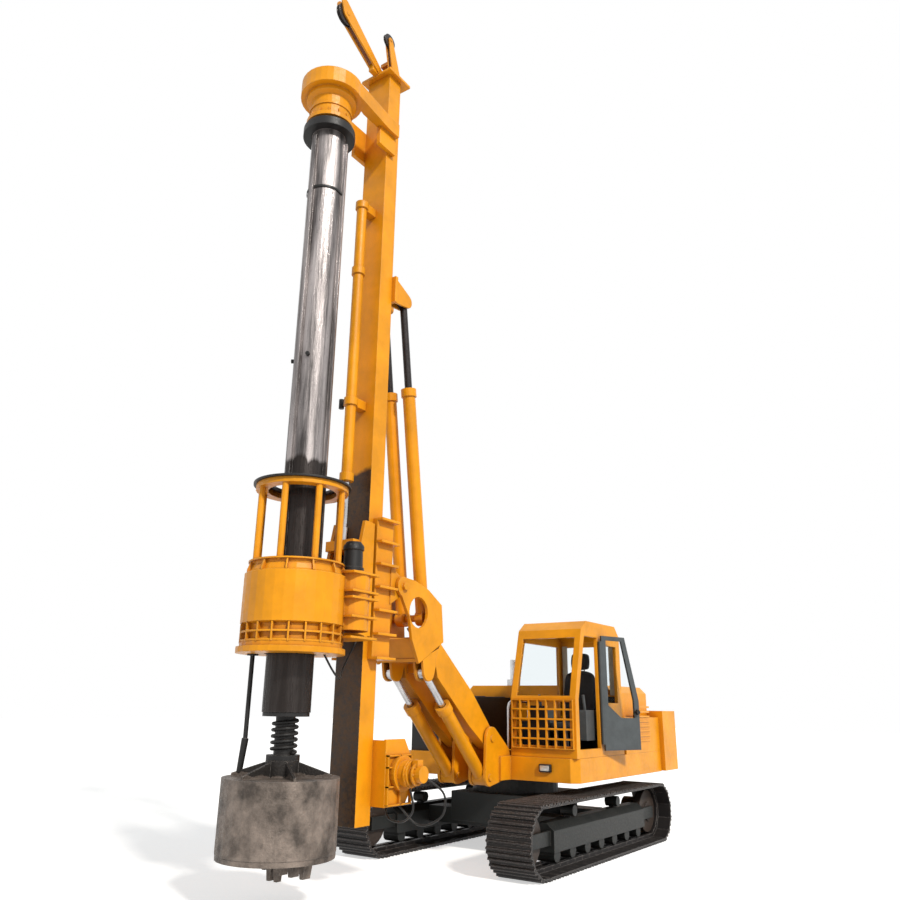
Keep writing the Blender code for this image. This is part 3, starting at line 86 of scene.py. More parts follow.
SUN_LEVEL = 2.9
SUN_FROM = Vector((1.0, -0.42, 0.8))
sun = bpy.data.lights.new("sun", "SUN")
sun.energy = SUN_LEVEL
sun.angle = math.radians(6.0)
sun.color = (1.0, 0.96, 0.9)
sun_lamp = bpy.data.objects.new("sun", sun)
sun_lamp.rotation_euler = (-SUN_FROM).to_track_quat("-Z", "Y").to_euler()
bpy.context.scene.collection.objects.link(sun_lamp)

YARD_SIDE, YARD_GLOW = 160.0, 0.55
yard_mesh = bmesh.new()
bmesh.ops.create_grid(yard_mesh, x_segments=2, y_segments=2, size=YARD_SIDE / 2)
yard_data = bpy.data.meshes.new("yard")
yard_mesh.to_mesh(yard_data)
yard_mesh.free()
yard = bpy.data.objects.new("yard", yard_data)
bpy.context.scene.collection.objects.link(yard)
yard_look = bpy.data.materials.new("yard")
yard_look.use_nodes = True
yard_tree = yard_look.node_tree
yard_tree.nodes.clear()
yard_grey = yard_tree.nodes.new("ShaderNodeBsdfDiffuse")
yard_grey.inputs["Color"].default_value = (0.8, 0.8, 0.79, 1.0)
yard_white = yard_tree.nodes.new("ShaderNodeEmission")
yard_white.inputs["Color"].default_value = (1.0, 1.0, 1.0, 1.0)
yard_white.inputs["Strength"].default_value = YARD_GLOW
yard_sum = yard_tree.nodes.new("ShaderNodeAddShader")
yard_tree.links.new(yard_grey.outputs[0], yard_sum.inputs[0])
yard_tree.links.new(yard_white.outputs[0], yard_sum.inputs[1])
by_ray(yard_tree, yard_grey.outputs[0], yard_sum.outputs[0], "ShaderNodeOutputMaterial")
yard_data.materials.append(yard_look)

# The camera stands low in front of the rig and to its left, looking up at the mast.
EYE = Vector((6.149, -9.695, 1.903))
EYE_YAW, EYE_PITCH, EYE_ROLL = (math.radians(a) for a in (34.77, 18.05, 0.87))
EYE_LENS, EYE_SENSOR = 31.45, 36.0
camera_data = bpy.data.cameras.new("camera")
camera_data.lens = EYE_LENS
camera_data.sensor_width = EYE_SENSOR
camera = bpy.data.objects.new("camera", camera_data)
camera.matrix_world = (
    Matrix.Translation(EYE)
    @ Matrix.Rotation(EYE_YAW, 4, "Z")
    @ Matrix.Rotation(math.radians(90.0) + EYE_PITCH, 4, "X")
    @ Matrix.Rotation(EYE_ROLL, 4, "Z")
)
bpy.context.scene.collection.objects.link(camera)
bpy.context.scene.camera = camera
bpy.context.scene.view_settings.view_transform = "Standard"


# Undercarriage: cast and welded black steel, soiled by the ground. Each track is a chain of
# pressed shoes with three grousers, worn bright along their edges, round an idler and a sprocket.
def coated(name, colour, edge_wear_and_highlight, dust, grain=6.0, rough=(0.35, 0.6), metallic=0.0, edge=0.012,
           wear=0.5, relief=0.15, stretch=(1.0, 1.0, 1.0), band=None, crease_shade=(0.16, 0.05, 0.012),
           crease_shade_share=0.6, swing=(0.84, 1.1)):
    """A finish on steel: a patchy coat, rubbed through along its edges (on the orange enamel a painted
    highlight there instead), painted shade in its corners and dust on top. stretch draws the patches out,
    and band is (low, high, colour, front only)."""
    made = bpy.data.materials.new(name)
    made.use_nodes = True
    nodes, links = made.node_tree.nodes, made.node_tree.links
    shader = nodes["Principled BSDF"]
    shader.inputs["Metallic"].default_value = metallic
    shader.inputs["Specular IOR Level"].default_value = 0.35
    place = nodes.new("ShaderNodeTexCoord").outputs["Object"]
    drawn = nodes.new("ShaderNodeMapping")
    drawn.inputs["Scale"].default_value = stretch
    links.new(place, drawn.inputs["Vector"])

    def noise(scale, detail, share=0.6):
        made_noise = nodes.new("ShaderNodeTexNoise")
        made_noise.inputs["Scale"].default_value = scale
        made_noise.inputs["Detail"].default_value = detail
        made_noise.inputs["Roughness"].default_value = share
        links.new(drawn.outputs["Vector"], made_noise.inputs["Vector"])
        return made_noise.outputs["Fac"]

    def between(value, low, high, to_low=0.0, to_high=1.0):
        ranged = nodes.new("ShaderNodeMapRange")
        ends = {"From Min": low, "From Max": high, "To Min": to_low, "To Max": to_high}
        for socket, number in ends.items():
            ranged.inputs[socket].default_value = number
        links.new(value, ranged.inputs["Value"])
        return ranged.outputs["Result"]

    def times(first, second):
        product = nodes.new("ShaderNodeMath")
        product.operation = "MULTIPLY"
        product.use_clamp = True
        for socket, value in zip(product.inputs, (first, second)):
            if isinstance(value, float):
                socket.default_value = value
            else:
                links.new(value, socket)
        return product.outputs[0]

    def mixed(share, first, second):
        mix = nodes.new("ShaderNodeMix")
        mix.data_type = "RGBA"
        links.new(share, mix.inputs["Factor"])
        for socket, value in ((mix.inputs[6], first), (mix.inputs[7], second)):
            if isinstance(value, tuple):
                socket.default_value = (*value, 1.0)
            else:
                links.new(value, socket)
        return mix.outputs[2]

    patches = noise(grain, 6.0)
    specks = noise(grain * 9.0, 4.0, 0.7)
    coat = mixed(between(patches, 0.35, 0.65), tuple(c * swing[0] for c in colour),
                 tuple(min(1.0, c * swing[1]) for c in colour))
    rim = nodes.new("ShaderNodeBevel")
    rim.samples = 4
    rim.inputs["Radius"].default_value = edge
    facing = nodes.new("ShaderNodeNewGeometry")
    along = nodes.new("ShaderNodeVectorMath")
    along.operation = "DOT_PRODUCT"
    links.new(rim.outputs["Normal"], along.inputs[0])
    links.new(facing.outputs["Normal"], along.inputs[1])
    turned_to = nodes.new("ShaderNodeSeparateXYZ")
    links.new(facing.outputs["Normal"], turned_to.inputs[0])
    # Painted shade: the coat darkens towards a shade colour where ambient occlusion finds corners and
    # creases.
    occluded = nodes.new("ShaderNodeAmbientOcclusion")
    occluded.samples = 4
    occluded.inputs["Distance"].default_value = 0.2
    shaded_creases = times(between(occluded.outputs["AO"], 0.85, 0.3),
                    between(patches, 0.3, 0.7, 0.5, 1.0))
    coat = mixed(times(shaded_creases, crease_shade_share), coat, crease_shade)
    if band:
        low, high, band_colour, front_only = band
        stands_at = nodes.new("ShaderNodeSeparateXYZ")
        links.new(place, stands_at.inputs[0])
        ragged = nodes.new("ShaderNodeMath")
        ragged.operation = "ADD"
        links.new(stands_at.outputs["Z"], ragged.inputs[0])
        links.new(between(patches, 0.0, 1.0, -0.12, 0.12), ragged.inputs[1])
        share = times(between(ragged.outputs[0], low - 0.01, low),
                      between(ragged.outputs[0], high + 0.05, high))
        if front_only:
            share = times(share, between(turned_to.outputs["Y"], -0.6, -0.9))
        coat = mixed(times(share, between(specks, 0.25, 0.6, 1.0, 0.93)), coat, band_colour)
    # Along the edges the coat takes the edge colour: real wear on most coats, a painted highlight on the
    # orange enamel.
    on_edge = times(between(along.outputs["Value"], 0.97, 0.8), between(specks, 0.42, 0.6))
    coat = mixed(times(on_edge, wear), coat, edge_wear_and_highlight)
    lying = times(between(turned_to.outputs["Z"], 0.3, 1.0), between(patches, 0.3, 0.7, 0.0, 0.3))
    coat = mixed(lying, coat, dust)
    links.new(coat, shader.inputs["Base Color"])
    links.new(between(specks, 0.3, 0.7, *rough), shader.inputs["Roughness"])
    bump = nodes.new("ShaderNodeBump")
    bump.inputs["Strength"].default_value = relief
    bump.inputs["Distance"].default_value = 0.01
    links.new(specks, bump.inputs["Height"])
    links.new(rim.outputs["Normal"], bump.inputs["Normal"])
    links.new(bump.outputs["Normal"], shader.inputs["Normal"])
    return made


def dress(finish, *names):
    """Gives the named CAD nodes this finish."""
    for name in names:
        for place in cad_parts[name].material_slots:
            place.material = finish


def piece(name, made, finish, body, sharp=35.0):
    """A finished piece from its bmesh: faces outwards, sharp where it turns hard, on its body."""
    bmesh.ops.recalc_face_normals(made, faces=made.faces)
    data = bpy.data.meshes.new(name)
    made.to_mesh(data)
    made.free()
    data.shade_smooth()
    data.set_sharp_from_angle(angle=math.radians(sharp))
    data.materials.append(finish)
    thing = bpy.data.objects.new(name, data)
    bpy.context.scene.collection.objects.link(thing)
    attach(thing, body)
    return thing


def extruded(made, outline, thickness, place):
    """Adds a plate: its outline in place's XZ plane, drawn out along place's Y by thickness."""
    corners = [made.verts.new(place @ Vector((a, 0.0, b))) for a, b in outline]
    grown = bmesh.ops.extrude_face_region(made, geom=[made.faces.new(corners)])
    moved = [v for v in grown["geom"] if isinstance(v, bmesh.types.BMVert)]
    bmesh.ops.translate(made, verts=moved, vec=place.to_3x3() @ Vector((0.0, thickness, 0.0)))


def bar(made, low, high, place=None):
    """Adds a rectangular bar between two corners."""
    low, high = Vector(low), Vector(high)
    fitted = Matrix.Translation((low + high) / 2) @ Matrix.Diagonal((*(high - low), 1.0))
    bmesh.ops.create_cube(made, size=1.0, matrix=place @ fitted if place else fitted)


def round_bar(made, start, end, radius, end_radius=None, segments=24):
    """Adds a round bar or a taper from start to end."""
    start, end = Vector(start), Vector(end)
    turn = (end - start).to_track_quat("Z", "Y").to_matrix().to_4x4()
    bmesh.ops.create_cone(
        made, cap_ends=True, segments=segments, radius1=radius,
        radius2=radius if end_radius is None else end_radius, depth=(end - start).length,
        matrix=Matrix.Translation((start + end) / 2) @ turn)


def ring(made, centre, profile, steps=64):
    """Adds a ring turned about an upright axis through centre, from its (radius, height) section."""
    points = [made.verts.new(centre + Vector((radius, 0.0, height))) for radius, height in profile]
    edges = [made.edges.new(pair) for pair in zip(points, points[1:] + points[:1])]
    bmesh.ops.spin(made, geom=points + edges, cent=centre, axis=(0.0, 0.0, 1.0),
                   angle=2 * math.pi, steps=steps, use_merge=True)


def middle(name):
    """The centre of a CAD node's box."""
    low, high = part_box(name)
    return (low + high) / 2


BARE_STEEL, SOIL = (0.3, 0.28, 0.26), (0.05, 0.042, 0.036)
SHOES, SHOE_GAP, GROUSER, SHOE_PLATE = 48, 0.008, 0.025, 0.018
LINK_DEPTH, LINK_WIDTH, LINK_PLACES = 0.05, 0.06, (0.32, 0.56)
ALONG_TRACK = Matrix(((0, 1, 0, 0), (1, 0, 0, 0), (0, 0, 1, 0), (0, 0, 0, 1)))
# The colours laid into each coat's corners and creases are painted shade.
shoe_steel = coated("track_shoe_steel", (0.014, 0.012, 0.012), (0.42, 0.38, 0.36), SOIL, wear=1.0,
                    grain=9.0, crease_shade=(0.01, 0.008, 0.007))
frame_coat = coated("track_frame_coat", (0.013, 0.015, 0.0145), BARE_STEEL, SOIL, wear=0.3,
                    crease_shade=(0.012, 0.008, 0.006))
wheel_coat = coated("track_wheel_coat", (0.04, 0.028, 0.022), BARE_STEEL, SOIL, wear=0.6,
                    crease_shade=(0.02, 0.01, 0.006))
for side in ("left", "right"):
    low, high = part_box("track_" + side)
    outer = (high.z - low.z) / 2
    straight = (high.y - low.y) - 2 * outer
    pitch = (2 * straight + 2 * math.pi * outer) / SHOES
    half = (pitch - SHOE_GAP) / 2
    deck, root = outer - GROUSER, outer - GROUSER - SHOE_PLATE
    rib = half * 0.22
    section = [(-half, root), (half, root), (half, deck)]
    for at in (half - rib, 0.0, -half + rib):
        section += [(at + rib, deck), (at + rib * 0.35, outer), (at - rib * 0.35, outer),
                    (at - rib, deck)]
    section = [p for i, p in enumerate(section) if i == 0 or p != section[i - 1]] + [(-half, deck)]
    section = [p for i, p in enumerate(section) if p != section[i - 1]]
    made = bmesh.new()
    for shoe in range(SHOES):
        run = shoe * pitch
        if run < straight:
            centre, lean = Vector((0, low.y + outer + run, low.z + outer)), 0.0
        elif run < straight + math.pi * outer:
            centre, lean = Vector((0, high.y - outer, low.z + outer)), (run - straight) / outer
        elif run < 2 * straight + math.pi * outer:
            back = run - straight - math.pi * outer
            centre = Vector((0, high.y - outer - back, low.z + outer))
            lean = math.pi
        else:
            centre = Vector((0, low.y + outer, low.z + outer))
            lean = math.pi + (run - 2 * straight - math.pi * outer) / outer
        inside = Matrix.Translation(centre + Vector((low.x, 0, 0))) @ Matrix.Rotation(-lean, 4, "X")
        extruded(made, section, high.x - low.x, inside @ ALONG_TRACK)
        for place in LINK_PLACES:
            near = (high.x - low.x) * place
            bar(made, (near, -half * 1.02, root - LINK_DEPTH),
                (near + LINK_WIDTH, half * 1.02, root - 0.001), inside)
    chain = piece("track_chain_" + side, made, shoe_steel, "undercarriage")
    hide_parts("track_" + side)
dress(frame_coat, "track_frame_left", "track_frame_right", "car_body")
dress(wheel_coat, "idler_left", "idler_right", "sprocket_left", "sprocket_right")

# Upper deck, hood and counterweight: welded plate in orange enamel, faded and dusty on top, with
# brown painted shade in its corners and a pale painted highlight along its edges. The boxes on the right
# and the engine under the hood are black.
# The third colour is brown painted shade for the enamel's corners and creases.
ORANGE, DUST, CREASE_SHADE_BROWN = (0.86, 0.335, 0.004), (0.7, 0.4, 0.1), (0.26, 0.07, 0.008)
# A pale painted highlight for the enamel's edges.
EDGE_HIGHLIGHT_PALE = (0.9, 0.6, 0.2)
enamel = coated("orange_enamel", ORANGE, EDGE_HIGHLIGHT_PALE, DUST, grain=2.2, rough=(0.28, 0.5), wear=0.45,
                crease_shade_share=0.95, crease_shade=CREASE_SHADE_BROWN)
black_coat = coated("black_coat", (0.01, 0.0095, 0.0095), BARE_STEEL, SOIL, wear=0.4,
                    crease_shade=(0.01, 0.006, 0.004))
grey_coat = coated("grey_coat", (0.07, 0.08, 0.085), BARE_STEEL, (0.2, 0.18, 0.15), wear=0.3,
                   crease_shade=(0.02, 0.015, 0.01))
dress(enamel, "turntable", "counterweight", "engine_hood", "cab_frame", "cab_guard")
dress(black_coat, "engine_block", "fuel_tank", "tool_box")
plated = coated("plated_pipe", (0.6, 0.6, 0.6), (0.4, 0.35, 0.3), SOIL, rough=(0.12, 0.3),
                metallic=1.0, crease_shade_share=0.4)
dress(plated, "exhaust", "handrail")


# Cab: a welded orange frame with clear safety glass, a mesh guard over the lower front pane, a
# black high-backed seat between grey consoles, and a grey door swung right back.
def glass(name, tint):
    """Clear safety glass, faintly smeared."""
    made = bpy.data.materials.new(name)
    made.use_nodes = True
    nodes, links = made.node_tree.nodes, made.node_tree.links
    shader = nodes["Principled BSDF"]
    shader.inputs["Base Color"].default_value = (*tint, 1.0)
    shader.inputs["Transmission Weight"].default_value = 1.0
    shader.inputs["IOR"].default_value = 1.02
    smear = nodes.new("ShaderNodeTexNoise")
    smear.inputs["Scale"].default_value = 3.0
    ranged = nodes.new("ShaderNodeMapRange")
    ranged.inputs["To Min"].default_value = 0.0
    ranged.inputs["To Max"].default_value = 0.05
    links.new(nodes.new("ShaderNodeTexCoord").outputs["Object"], smear.inputs["Vector"])
    links.new(smear.outputs["Fac"], ranged.inputs["Value"])
    links.new(ranged.outputs["Result"], shader.inputs["Roughness"])
    return made


pane = glass("clear_glass", (0.93, 0.96, 0.97))
dress(pane, "windscreen", "right_window", "side_window", "rear_window", "door_glass")
seat_cloth = coated("seat_cloth", (0.015, 0.015, 0.017), (0.03, 0.03, 0.03), (0.05, 0.05, 0.05),
                    grain=40.0, rough=(0.8, 0.95), crease_shade=(0.01, 0.01, 0.01))


def pad(name, low, high, crown, tilt=0.0):
    """A foam pad in sewn cloth: rounded edges, crowned in its middle, leaning back by tilt."""
    low, high = Vector(low), Vector(high)
    centre, size = (low + high) / 2, high - low
    made = bmesh.new()
    bmesh.ops.create_cube(made, size=1.0)
    bmesh.ops.subdivide_edges(made, edges=made.edges, cuts=7, use_grid_fill=True)
    for point in made.verts:
        u, v, w = (2 * c for c in point.co)
        swell = Vector((u * (1 - v * v) * (1 - w * w), v * (1 - u * u) * (1 - w * w),
                        w * (1 - u * u) * (1 - v * v)))
        drawn_in = 1.0 - 0.10 * (u * u * v * v + v * v * w * w + u * u * w * w) / 3
        point.co = Vector((u, v, w)) * 0.5 * drawn_in + swell * crown
        point.co = Vector(c * side for c, side in zip(point.co, size))
    leaned = Matrix.Translation(centre) @ Matrix.Rotation(tilt, 4, "X")
    bmesh.ops.transform(made, matrix=leaned, verts=made.verts)
    cushion = piece(name, made, seat_cloth, "upper", 80.0)
    rounded = cushion.modifiers.new("rounded", "SUBSURF")
    rounded.levels = rounded.render_levels = 1
    return cushion


seat_low, seat_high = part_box("seat")
seat_mid = (seat_low.x + seat_high.x) / 2
SEAT_LEAN = math.radians(-6.0)
made = bmesh.new()
bar(made, (seat_mid - 0.19, seat_low.y + 0.12, seat_low.z + 0.002),
    (seat_mid + 0.19, seat_high.y - 0.22, seat_low.z + 0.3))
for side in (-1, 1):
    round_bar(made, (seat_mid + side * 0.06, seat_high.y - 0.12, seat_high.z - 0.3),
              (seat_mid + side * 0.06, seat_high.y - 0.1, seat_high.z - 0.18), 0.008, segments=12)
seat_base = piece("seat_base", made, black_coat, "upper")
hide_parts("seat")
pad("seat_cushion", (seat_mid - 0.24, seat_low.y + 0.02, seat_low.z + 0.3),
    (seat_mid + 0.24, seat_high.y - 0.16, seat_low.z + 0.44), 0.06)
pad("seat_back", (seat_mid - 0.23, seat_high.y - 0.24, seat_low.z + 0.4),
    (seat_mid + 0.23, seat_high.y - 0.1, seat_high.z - 0.3), 0.06, SEAT_LEAN)
pad("seat_headrest", (seat_mid - 0.13, seat_high.y - 0.17, seat_high.z - 0.24),
    (seat_mid + 0.13, seat_high.y - 0.06, seat_high.z - 0.02), 0.06, SEAT_LEAN)
dress(grey_coat, "console", "door_frame")
cab_low, cab_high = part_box("cab_frame")
liner = coated("cab_liner", (0.02, 0.02, 0.022), (0.06, 0.06, 0.06), (0.05, 0.045, 0.04),
               grain=20.0, rough=(0.6, 0.85), crease_shade=(0.01, 0.01, 0.01))
headliner = coated("cab_headliner", (0.5, 0.44, 0.34), (0.5, 0.44, 0.34), (0.4, 0.35, 0.28),
                   grain=14.0, rough=(0.7, 0.9), crease_shade=(0.1, 0.08, 0.06))

# The lining's floor, side and rear panels, the dash with its display, and two pedals on stalks.
WALL, LINING = 0.052, 0.012
SIDE_SILL, DASH_TOP, STALK_TOP, DISPLAY_TOP, REAR_SILL = 1.72, 1.74, 1.78, 1.93, 2.07
made = bmesh.new()
inside_low = cab_low + Vector((WALL, WALL, 0.004))
inside_high = cab_high - Vector((WALL, WALL, 0.0))
bar(made, inside_low, (inside_high.x, inside_high.y, inside_low.z + LINING))
bar(made, (inside_low.x, inside_low.y + 0.1, inside_low.z),
    (inside_low.x + LINING, inside_high.y, SIDE_SILL))
bar(made, (inside_low.x, inside_high.y - 0.015, inside_low.z),
    (inside_high.x, inside_high.y, REAR_SILL))
bar(made, (inside_low.x + 0.14, inside_low.y + 0.1, inside_low.z),
    (inside_low.x + 0.42, inside_low.y + 0.2, DASH_TOP))
bar(made, (inside_low.x + 0.16, inside_low.y + 0.09, DASH_TOP),
    (inside_low.x + 0.4, inside_low.y + 0.13, DISPLAY_TOP))
for number in range(2):
    at = inside_low.x + 0.52 + 0.14 * number
    round_bar(made, (at, inside_low.y + 0.26, inside_low.z), (at, inside_low.y + 0.2, STALK_TOP),
              0.012, segments=12)
    bar(made, (at - 0.045, inside_low.y + 0.16, inside_low.z + 0.05),
        (at + 0.045, inside_low.y + 0.19, inside_low.z + 0.24))
piece("cab_lining", made, liner, "upper")

# The pale lining under the roof and down the two rear posts.
POST_LOW, POST_HIGH = 2.09, 2.82
made = bmesh.new()
bar(made, (inside_low.x + 0.02, inside_low.y + 0.25, cab_high.z - 0.115),
    (inside_high.x - 0.02, inside_high.y - 0.02, cab_high.z - 0.1))
for left, right in ((inside_low.x + 0.02, inside_low.x + 0.1),
                    (inside_high.x - 0.1, inside_high.x - 0.02)):
    bar(made, (left, inside_high.y - 0.02, POST_LOW), (right, inside_high.y - 0.002, POST_HIGH))
piece("cab_headliner", made, headliner, "upper")

# A work lamp let into the deck's front edge below the cab, and the door's knob.
LAMP_Z, KNOB_Z = 1.14, 1.86
lamp_at = Vector((middle("cab_frame").x + 0.04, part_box("cab_guard")[0].y - 0.005, LAMP_Z))
made = bmesh.new()
bar(made, lamp_at + Vector((-0.09, -0.018, -0.05)), lamp_at + Vector((0.09, 0.03, 0.05)))
bmesh.ops.bevel(made, geom=made.edges[:], offset=0.012, segments=2, affect="EDGES", profile=0.5,
                material=-1)
piece("deck_lamp_rim", made, black_coat, "upper")
made = bmesh.new()
bar(made, lamp_at + Vector((-0.07, -0.024, -0.034)), lamp_at + Vector((0.07, -0.005, 0.034)))
bmesh.ops.bevel(made, geom=made.edges[:], offset=0.008, segments=2, affect="EDGES", profile=0.5,
                material=-1)
lens = coated("lamp_lens", (0.6, 0.6, 0.58), (0.7, 0.7, 0.7), (0.4, 0.36, 0.3), grain=60.0,
              rough=(0.05, 0.2), metallic=0.6)
piece("deck_lamp_lens", made, lens, "upper")
door_low, door_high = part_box("door_frame")
hinge_at = Vector((door_low.x + 0.03, door_low.y + 0.03, 0.0))
door_end = Vector((door_high.x, door_high.y, 0.0))
along_door = (door_end - hinge_at).normalized()
out_of_door = Vector((along_door.y, -along_door.x, 0.0))
made = bmesh.new()
knob_reach = (door_end - hinge_at).length - 0.09
knob_at = hinge_at + along_door * knob_reach + Vector((0, 0, KNOB_Z))
round_bar(made, knob_at, knob_at + out_of_door * 0.05, 0.018, segments=20)
round_bar(made, knob_at + out_of_door * 0.04, knob_at + out_of_door * 0.07, 0.04, 0.03, segments=24)
piece("door_knob", made, black_coat, "cab_door")

# Mast, boom, cylinders and winch: the same enamel. The mast's front face is worn bare and greased
# where the rotary's carriage slides; the rods are plated or oiled black.
GREASED_TO, GREASE = 4.62, (0.012, 0.008, 0.007)
# The grease band is a real stain; the pale edges and brown corners are painted highlight and painted
# shade, as on the enamel.
greased = coated("greased_enamel", ORANGE, EDGE_HIGHLIGHT_PALE, DUST, grain=2.2, rough=(0.28, 0.5), wear=0.45,
                 crease_shade_share=0.95, crease_shade=CREASE_SHADE_BROWN, band=(0.0, GREASED_TO, GREASE, True))
dress(greased, "mast_column")
rod_steel = coated("plated_rod", (0.55, 0.55, 0.56), (0.3, 0.3, 0.3), SOIL, rough=(0.1, 0.25),
                   metallic=1.0, crease_shade_share=0.3)
dark_rod = coated("oiled_rod", (0.04, 0.035, 0.035), BARE_STEEL, SOIL, rough=(0.2, 0.4), metallic=0.6,
                  crease_shade=(0.02, 0.01, 0.006))
dress(enamel, "boom", "mast_cradle", "rake_bracket", "winch_frame", "cathead", "crowd_barrel",
      "winch_motor")
dress(enamel, "luff_barrel_left", "luff_barrel_right", "rake_barrel_left", "rake_barrel_right")
dress(rod_steel, "crowd_rod", "luff_rod_left", "luff_rod_right")
dress(dark_rod, "rake_rod_left", "rake_rod_right", "winch_drum", "main_sheave", "aux_sheave")

# Stiffening ribs on the winch's side plate, and the bolted flanges of its motor.
WINCH_RIB, RIB_HEIGHT = 0.016, 0.035
made = bmesh.new()
low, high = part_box("winch_frame")
for y in (low.y + 0.01, (low.y + high.y) / 2, high.y - 0.03):
    bar(made, (high.x - 0.002, y, low.z + 0.02),
        (high.x + RIB_HEIGHT, y + WINCH_RIB, high.z - 0.16))
for z in (low.z + 0.01, low.z + 0.2, low.z + 0.4, high.z - 0.18):
    bar(made, (high.x - 0.002, low.y + 0.01, z),
        (high.x + RIB_HEIGHT, high.y - 0.02, z + WINCH_RIB))
hub = middle("winch_motor")
low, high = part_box("winch_motor")
for at, radius, bolts, size in ((low.x + 0.03, 0.165, 14, 0.013), (low.x + 0.15, 0.13, 12, 0.011),
                                (high.x - 0.1, 0.1, 8, 0.011)):
    round_bar(made, (at, hub.y, hub.z), (at + 0.022, hub.y, hub.z), radius + 0.02, segments=40)
    for number in range(bolts):
        turn = 2 * math.pi * number / bolts
        spot = Vector((at + 0.02, hub.y + radius * math.cos(turn),
                       hub.z + radius * math.sin(turn)))
        round_bar(made, spot, spot + Vector((0.014, 0, 0)), size, segments=6)
bar(made, (high.x - 0.13, hub.y - 0.05, hub.z + 0.06), (high.x - 0.05, hub.y + 0.05, hub.z + 0.15))
piece("winch_ribs_and_bolts", made, enamel, "mast")

# The eye on the crowd cylinder's barrel that its hoses hang from.
HOSE_EYE_Z = 5.5
low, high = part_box("crowd_barrel")
eye_at = Vector((low.x + 0.01, low.y + 0.08, HOSE_EYE_Z))
made = bmesh.new()
bar(made, eye_at + Vector((-0.085, -0.02, -0.03)), eye_at + Vector((0.02, 0.02, 0.03)))
round_bar(made, eye_at + Vector((-0.07, 0, -0.06)), eye_at + Vector((-0.07, 0, 0.06)), 0.034, segments=20)
piece("crowd_hose_eye", made, black_coat, "mast")

# Service fittings: louvres and lifting eyes on the hood, eyes and two rubbing strips on the
# counterweight, straps and a filler cap on the fuel tank, and a lid seam with latches on the
# tool box.
PROUD, SUNK = 0.012, 0.005
LOUVRES, LOUVRE_PITCH, LOUVRE_HEIGHT = 8, 0.07, 0.028
EYE_WIRE, EYE_RADIUS, EYE_STEPS = 0.014, 0.045, 12


def lifting_eye(made, foot):
    """A round eye standing on a small pad."""
    foot = Vector(foot)
    bar(made, foot - Vector((0.05, 0.05, SUNK)), foot + Vector((0.05, 0.05, PROUD)))
    turns = [math.pi * step / EYE_STEPS for step in range(EYE_STEPS + 1)]
    arch = [foot + Vector((0.0, EYE_RADIUS * math.cos(turn), EYE_RADIUS * math.sin(turn) + PROUD))
            for turn in turns]
    for start, end in zip(arch, arch[1:]):
        round_bar(made, start, end, EYE_WIRE, segments=10)


made = bmesh.new()
low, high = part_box("engine_hood")
for face in (low.x, high.x):
    for row in range(LOUVRES):
        z = low.z + 0.16 + LOUVRE_PITCH * row
        bar(made, (face - PROUD, low.y + 0.42, z),
            (face + PROUD, high.y - 0.42, z + LOUVRE_HEIGHT))
for x in (low.x + 0.5, high.x - 0.5):
    lifting_eye(made, (x, middle("engine_hood").y + 0.1, high.z))
piece("hood_louvres_and_eyes", made, enamel, "upper")

low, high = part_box("counterweight")
made = bmesh.new()
for x in (low.x + 0.55, high.x - 0.55):
    lifting_eye(made, (x, low.y + 0.35, high.z))
for x in (-0.7, 0.5):
    bar(made, (x, high.y - SUNK, low.z + 0.12), (x + 0.02, high.y + PROUD, high.z - 0.12))
piece("counterweight_lugs", made, enamel, "upper")

low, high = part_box("fuel_tank")
made = bmesh.new()
for y in (low.y + 0.2, high.y - 0.22):
    bar(made, (low.x - PROUD, y, low.z), (low.x + SUNK, y + 0.05, high.z))
    bar(made, (low.x - PROUD, y, high.z - SUNK), (high.x, y + 0.05, high.z + PROUD))
cap_at = Vector((low.x + 0.3, middle("fuel_tank").y, high.z))
round_bar(made, cap_at - Vector((0, 0, SUNK)), cap_at + Vector((0, 0, 0.05)), 0.055, segments=28)
low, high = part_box("tool_box")
bar(made, (low.x - PROUD, low.y + 0.02, high.z - 0.09),
    (low.x + SUNK, high.y - 0.02, high.z - 0.075))
for y in (low.y + 0.12, high.y - 0.18):
    bar(made, (low.x - 0.02, y, high.z - 0.13), (low.x + SUNK, y + 0.05, high.z - 0.04))
piece("tank_straps_and_latches", made, grey_coat, "upper")

# Rotary drive: an orange gear housing with a ribbed lower ring and gussets under the cage,
# flanged pinion boxes, the cage's black wear plate, two hydraulic motors, and the rod beside
# the kelly that trips the bucket's flap.
AXIS = Vector((middle("bucket").x, middle("kelly_inner").y, 0.0))
house_low, house_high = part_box("rotary_housing")
LOWER_RIBS, RIB_THICK, LOWER_RING_RADIUS = 20, 0.018, 0.497
made = bmesh.new()
for rib_number in range(LOWER_RIBS):
    share = (rib_number + 0.3) / LOWER_RIBS
    turn = Matrix.Translation(AXIS) @ Matrix.Rotation(2 * math.pi * share, 4, "Z")
    bar(made, (LOWER_RING_RADIUS - 0.01, -RIB_THICK / 2, house_low.z + 0.04),
        (LOWER_RING_RADIUS + 0.05, RIB_THICK / 2, house_low.z + 0.235), turn)
for level in (0.045, 0.135):
    z = house_low.z + level
    ring(made, AXIS, [(LOWER_RING_RADIUS - 0.01, z), (LOWER_RING_RADIUS + 0.045, z),
                      (LOWER_RING_RADIUS + 0.045, z + 0.02), (LOWER_RING_RADIUS - 0.01, z + 0.02)])
UPPER_GUSSETS, NECK_RADIUS = 12, 0.47
top = house_high.z
gusset = [(NECK_RADIUS, top - 0.1), (NECK_RADIUS + 0.075, top - 0.075),
          (NECK_RADIUS + 0.075, top - 0.05), (NECK_RADIUS + 0.04, top + 0.045),
          (NECK_RADIUS, top + 0.045)]
